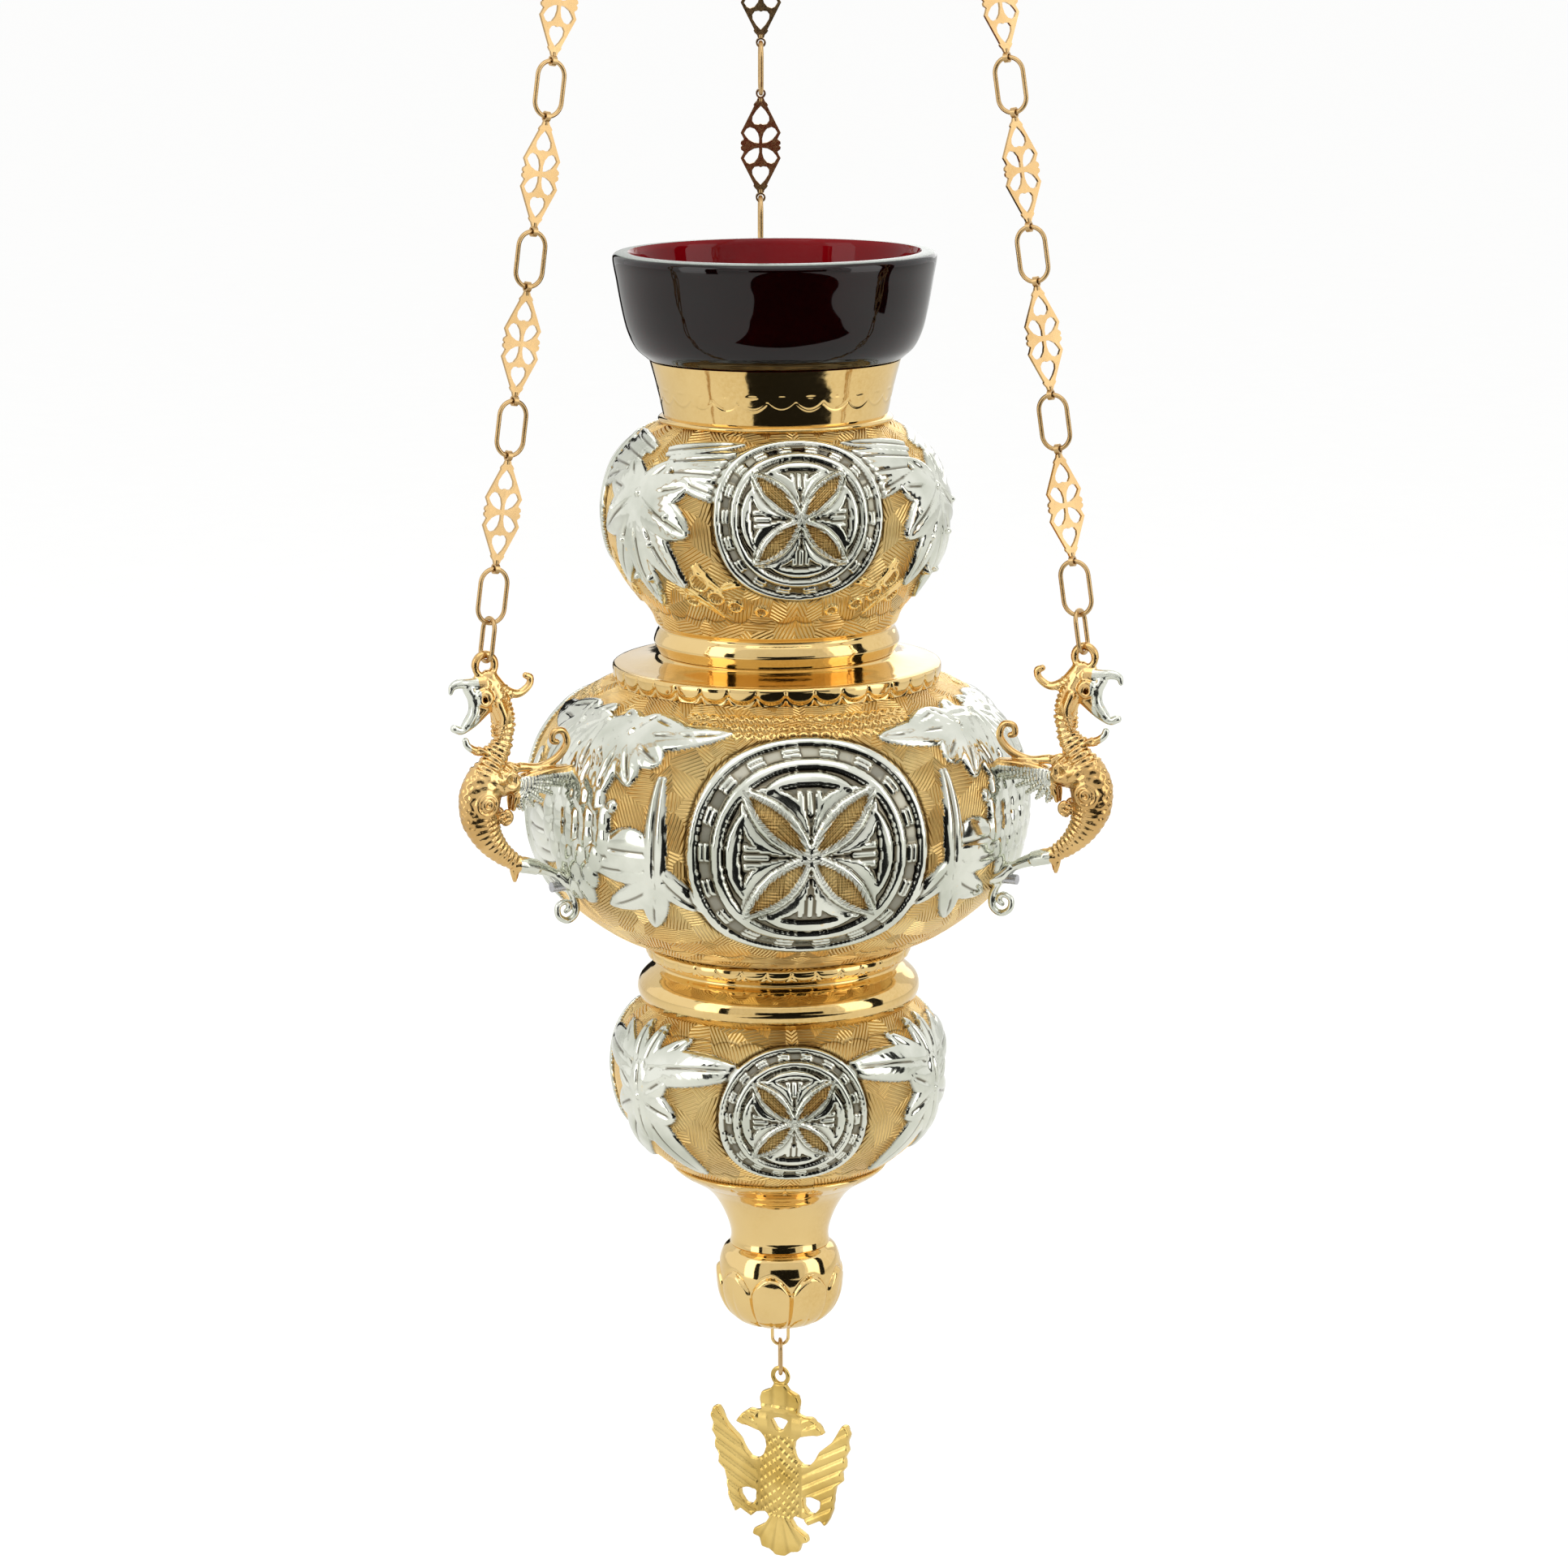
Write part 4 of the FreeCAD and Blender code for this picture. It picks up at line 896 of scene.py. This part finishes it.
def mesh_arrays(mesh):
    co = np.empty(len(mesh.vertices) * 3, dtype=np.float32)
    mesh.vertices.foreach_get("co", co)
    normal = np.empty_like(co)
    mesh.vertices.foreach_get("normal", normal)
    return co.reshape(-1, 3).astype(float) / MM, normal.reshape(-1, 3).astype(float)


def finish_cast(mesh, co, layers, metal):
    mesh.vertices.foreach_set("co", (co * MM).astype(np.float32).ravel())
    for key, values in layers.items():
        mesh.attributes.new(key, "FLOAT", "POINT").data.foreach_set("value", values.astype(np.float32))
    mesh.update()
    mesh.shade_smooth()
    mesh.materials.clear()
    mesh.materials.append(metal)


def dragon_mesh():
    points, faces, base = [], [], 0
    for p, f in dragon_strokes():
        points.append(p)
        faces += [tuple(i + base for i in face) for face in f]
        base += len(p)
    mesh = remeshed("dragon", np.vstack(points), faces, 0.36, 2)
    co, normal = mesh_arrays(mesh)
    u, y, w = co.T
    line = through(NECK, 160)
    apart = (co[:, None, 0] - line[None, :, 0]) ** 2 + (co[:, None, 2] - line[None, :, 1]) ** 2
    near = np.argmin(apart, axis=1)
    along = near * (np.linalg.norm(np.diff(line, axis=0), axis=1).sum() / 159)
    away = np.hypot(u - line[near, 0], w - line[near, 1])
    front = u > line[near, 0]
    on_body = (away < 7.2) & (w < -16)
    ribbed = on_body & ((w < -42) | (w > -31) & (w < -17))
    ribs = np.where(ribbed, 0.30 * np.cos(2 * math.pi * along / 1.75), 0)
    ribs = ribs * np.where(w > -30, 0.8, np.where(front, 0.35, 0.9))
    scaled = on_body & (w > -47) & (w < -31)
    scales = 0.16 * np.cos(2 * math.pi * along / 2.3) * np.cos(2 * math.pi * y / 2.4) * scaled
    boss = np.hypot(u - 2.4, w + 39.4) < 4.4
    behind = (w > -24) & (w < -6) & (u < line[near, 0] - 1.5) & (away < 4.5)
    nape = 0.3 * np.cos(2 * math.pi * along / 1.3) * behind
    lift = np.where(boss, 0, ribs + scales) + nape
    wing = (u < -9.5) & (w < -33.0) & (w > -46)
    barbs = wing * 0.14 * np.cos(2 * math.pi * np.hypot(u + 8, w + 35) / 1.1)
    co = co + normal * (lift + barbs)[:, None]
    silver = ((u > 3.0) & (w > -19.5) & (w < -3.0)) | ((u > 5.2) & (w < -19.5) & (w > -26)) | wing | (
        (w < -57.5) & (u < -9.6)) | ((u < -20) & (w < -33.2))
    # painted shade in the grooves between the ribs and scales, deeper where they sink further
    painted_shade = np.clip(-lift * 1.6, 0, 0.7)
    layers = {"silver": silver.astype(float), "matte": np.full(len(co), 0.35), "painted_shade": painted_shade}
    finish_cast(mesh, co, layers, cast_metal)
    return mesh


cast_metal = two_metal("cast_gold_and_silver", False, ((0.62, 0.38, 0.14, 1), (0.86, 0.58, 0.25, 1)))
eagle_metal = two_metal("cast_gold_eagle", False, ((0.60, 0.40, 0.10, 1), (0.88, 0.64, 0.22, 1)))
dragon = dragon_mesh()
for side, azimuth in HANDLES.items():
    obj = bpy.data.objects.new(f"dragon_handle_{side}", dragon)
    obj.matrix_world = (Matrix.Rotation(math.radians(azimuth), 4, "Z")
                        @ Matrix.Translation((LOOP_RADIUS * MM, 0, RIM + LOOP_DROP * MM)))
    bpy.context.scene.collection.objects.link(obj)
    piece(obj, f"handle_{side}", "lamp")


# ---- eagle pendant ----
EAGLE_YAW = math.radians(-30.0)
EAGLE_LOOP = 3.3           # outside radius of the loop at its top, mm


def eagle():
    node = frame["nodes"]["eagle_pendant"]
    source = node.data
    co = np.empty(len(source.vertices) * 3, dtype=np.float32)
    source.vertices.foreach_get("co", co)
    co = co.reshape(-1, 3).astype(float) / MM
    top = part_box("eagle_pendant")[1][2] / MM - EAGLE_LOOP
    c, s = math.cos(EAGLE_YAW), math.sin(EAGLE_YAW)
    flat = np.stack([co[:, 0] * c + co[:, 1] * s, co[:, 1] * c - co[:, 0] * s, co[:, 2] - top], axis=1)
    mesh = remeshed("eagle_pendant_cast", flat, [tuple(p.vertices) for p in source.polygons], 0.34, 5)
    co, normal = mesh_arrays(mesh)
    u, y, v = np.abs(co[:, 0]), co[:, 1], -co[:, 2]
    face = np.clip((np.abs(normal[:, 1]) - 0.5) * 3, 0, 1)
    reach = np.hypot(v - 25.0, u - 5.0)
    wing = (u > 7.5) & (v > 11) & (v < 46.5)
    feathers = 0.55 * np.abs(np.cos(math.pi * (v + 0.55 * u) / 3.6)) * np.clip((reach - 4) / 6, 0.25, 1)
    body = (u < 6.5) & (v > 19) & (v < 44)
    plumes = 0.30 * np.cos(2 * math.pi * u / 3.1) * np.cos(2 * math.pi * (v + 0.3 * u) / 3.3)
    tail = (v > 44.5) & (u < 10)
    fan = 0.45 * np.abs(np.cos(np.arctan2(u, v - 41.0) * 8.5))
    crown = (v > 2.6) & (v < 11.5) & (u < 7)
    arches = 0.4 * np.abs(np.cos(u * 0.62)) + 0.35 * (np.abs(v - 10.2) < 0.7)
    lift = np.where(wing, feathers, 0) + np.where(body, plumes, 0) + np.where(tail, fan, 0)
    lift = lift + np.where(crown, arches, 0) - 0.15
    breast = 0.9 * np.exp(-(u / 4.6) ** 2 - ((v - 31) / 9.5) ** 2)
    cheek = 0.35 * bell((v - 14.6) / 2.0) * (u > 4)
    lift = lift + breast + cheek
    eyes = 0.5 * np.exp(-(((u - 9.2) / 0.7) ** 2) - ((v - 14.2) / 0.7) ** 2)
    co[:, 1] = co[:, 1] + np.sign(y) * (lift - eyes) * face
    turned = np.stack([co[:, 0] * c - co[:, 1] * s, co[:, 0] * s + co[:, 1] * c, co[:, 2] + top], axis=1)
    # painted shade on the low parts of the eagle's front and back faces
    finish_cast(mesh, turned, {"silver": np.zeros(len(co)), "matte": np.full(len(co), 0.55),
                               "painted_shade": np.clip(0.25 - lift, 0, 0.6) * face}, eagle_metal)
    obj = bpy.data.objects.new("eagle_pendant_cast", mesh)
    bpy.context.scene.collection.objects.link(obj)
    piece(obj, "eagle_pendant", "eagle")


eagle()


# ---- camera, light, floor ----
CAMERA_DISTANCE, CAMERA_PITCH, CAMERA_AZIMUTH = 1.36, 11.4, 267.0
AIM = Vector((0, 0, RIM - 0.1575))
pitch, turn = math.radians(CAMERA_PITCH), math.radians(CAMERA_AZIMUTH)
spot = AIM + CAMERA_DISTANCE * Vector((math.cos(turn), math.sin(turn), math.tan(pitch)))
camera_data = bpy.data.cameras.new("camera")
camera_data.sensor_width = 36.0
camera_data.lens = 107.6
camera_data.shift_x = 0.0042
camera_data.clip_start, camera_data.clip_end = 0.05, 50.0
camera = bpy.data.objects.new("camera", camera_data)
bpy.context.scene.collection.objects.link(camera)
look = (AIM - spot).to_track_quat("-Z", "Y").to_matrix().to_4x4()
camera.matrix_world = Matrix.Translation(spot) @ look @ Matrix.Rotation(math.radians(-0.3), 4, "Z")
bpy.context.scene.camera = camera


def area(name, place, size, power, color=(1, 1, 1), aim=AIM):
    data = bpy.data.lights.new(name, "AREA")
    data.shape, data.size, data.size_y = "RECTANGLE", size[0], size[1]
    data.energy, data.color = power, color
    obj = bpy.data.objects.new(name, data)
    obj.visible_camera = False
    facing = (aim - Vector(place)).to_track_quat("-Z", "Y").to_matrix().to_4x4()
    obj.matrix_world = Matrix.Translation(place) @ facing
    bpy.context.scene.collection.objects.link(obj)


area("softbox_left", (-1.35, -0.75, RIM + 0.25), (0.7, 1.5), 4)
area("softbox_right", (1.35, -0.65, RIM + 0.15), (0.7, 1.5), 4)
area("softbox_top", (0.0, -0.5, RIM + 1.3), (1.4, 1.0), 4)
area("softbox_back", (0.3, 1.4, RIM + 0.5), (1.2, 1.2), 4)

world = bpy.data.worlds.new("studio")
world.use_nodes = True
world.node_tree.nodes["Background"].inputs["Color"].default_value = (1.0, 1.0, 1.0, 1)
world.node_tree.nodes["Background"].inputs["Strength"].default_value = 1.0
bpy.context.scene.world = world


def flat_material(name, color, rough):
    m = Nodes(name)
    paper = m.noise(40.0, 3.0)
    tint = m.mix(paper, "Fac", color, tuple(c * 0.985 for c in color[:3]) + (1,))
    m.join(tint, 2, m.shader, "Base Color")
    m.shader.inputs["Roughness"].default_value = rough
    m.shader.inputs["Specular IOR Level"].default_value = 0.0
    return m.material


def slab(name, centre, axes, material):
    """A flat stage panel."""
    u, v = Vector(axes[0]), Vector(axes[1])
    c = Vector(centre)
    mesh = bpy.data.meshes.new(name)
    mesh.from_pydata([c - u - v, c + u - v, c + u + v, c - u + v], [], [(0, 1, 2, 3)])
    mesh.materials.append(material)
    obj = bpy.data.objects.new(name, mesh)
    bpy.context.scene.collection.objects.link(obj)
    return obj


FLOOR_GAP = 0.05           # m, under the pendant
floor_z = CAD_BOUNDS[0][2] - FLOOR_GAP
floor_paint = flat_material("pale_floor", (0.985, 0.985, 0.98, 1), 0.6)
slab("floor", (0, 0, floor_z), ((60, 0, 0), (0, 60, 0)), floor_paint)
black = flat_material("black_card", (0.012, 0.012, 0.012, 1), 0.7)
grey = flat_material("grey_card", (0.80, 0.80, 0.79, 1), 0.8)
pale = flat_material("pale_card", (0.74, 0.74, 0.72, 1), 0.8)
for name, paint, centre, axes in (
        ("card_front", black, (0.35, -2.60, RIM - 0.05), ((1.35, 0, 0), (0, 0, 0.40))),
        ("card_floor", black, (0.18, -1.50, floor_z + 0.004), ((0.50, 0, 0), (0, 1.08, 0))),
        ("card_left", black, (-1.05, -0.95, RIM - 0.25), ((0.08, -0.07, 0), (0, 0, 0.70))),
        ("card_right", black, (1.15, -0.15, RIM - 0.15), ((0.02, 0.12, 0), (0, 0, 0.70))),
        ("card_back", black, (-0.25, 1.90, RIM - 0.10), ((0.30, 0, 0), (0, 0, 0.80))),
        ("room_front", grey, (0, -3.2, RIM + 0.6), ((3.2, 0, 0), (0, 0, 1.8))),
        ("room_back", grey, (0, 3.4, RIM + 0.6), ((3.2, 0, 0), (0, 0, 1.8))),
        ("room_floor", pale, (0, 0, floor_z + 0.002), ((3.1, 0, 0), (0, 3.1, 0)))):
    card = slab(name, centre, axes, paint)
    card.visible_camera = card.visible_shadow = card.visible_diffuse = False

# ---- carried-over CAD nodes ---------------------------------------------------------------
FINISH = {"gilt": gold, "gilt_cast": cast_gold, "brass_sheet": sheet_brass, "steel": steel}
slots = {part["node"]: part["material_slot"] for part in frame["record"]["subparts"]}
for node, obj in frame["nodes"].items():
    if slots[node] in FINISH:
        of_chain = any(word in node for word in ("chain", "link", "crown_eye"))
        finish = chain_gold if of_chain else FINISH[slots[node]]
        for index in range(len(obj.material_slots)):
            obj.material_slots[index].material = finish

bpy.context.scene.view_settings.view_transform = "Standard"
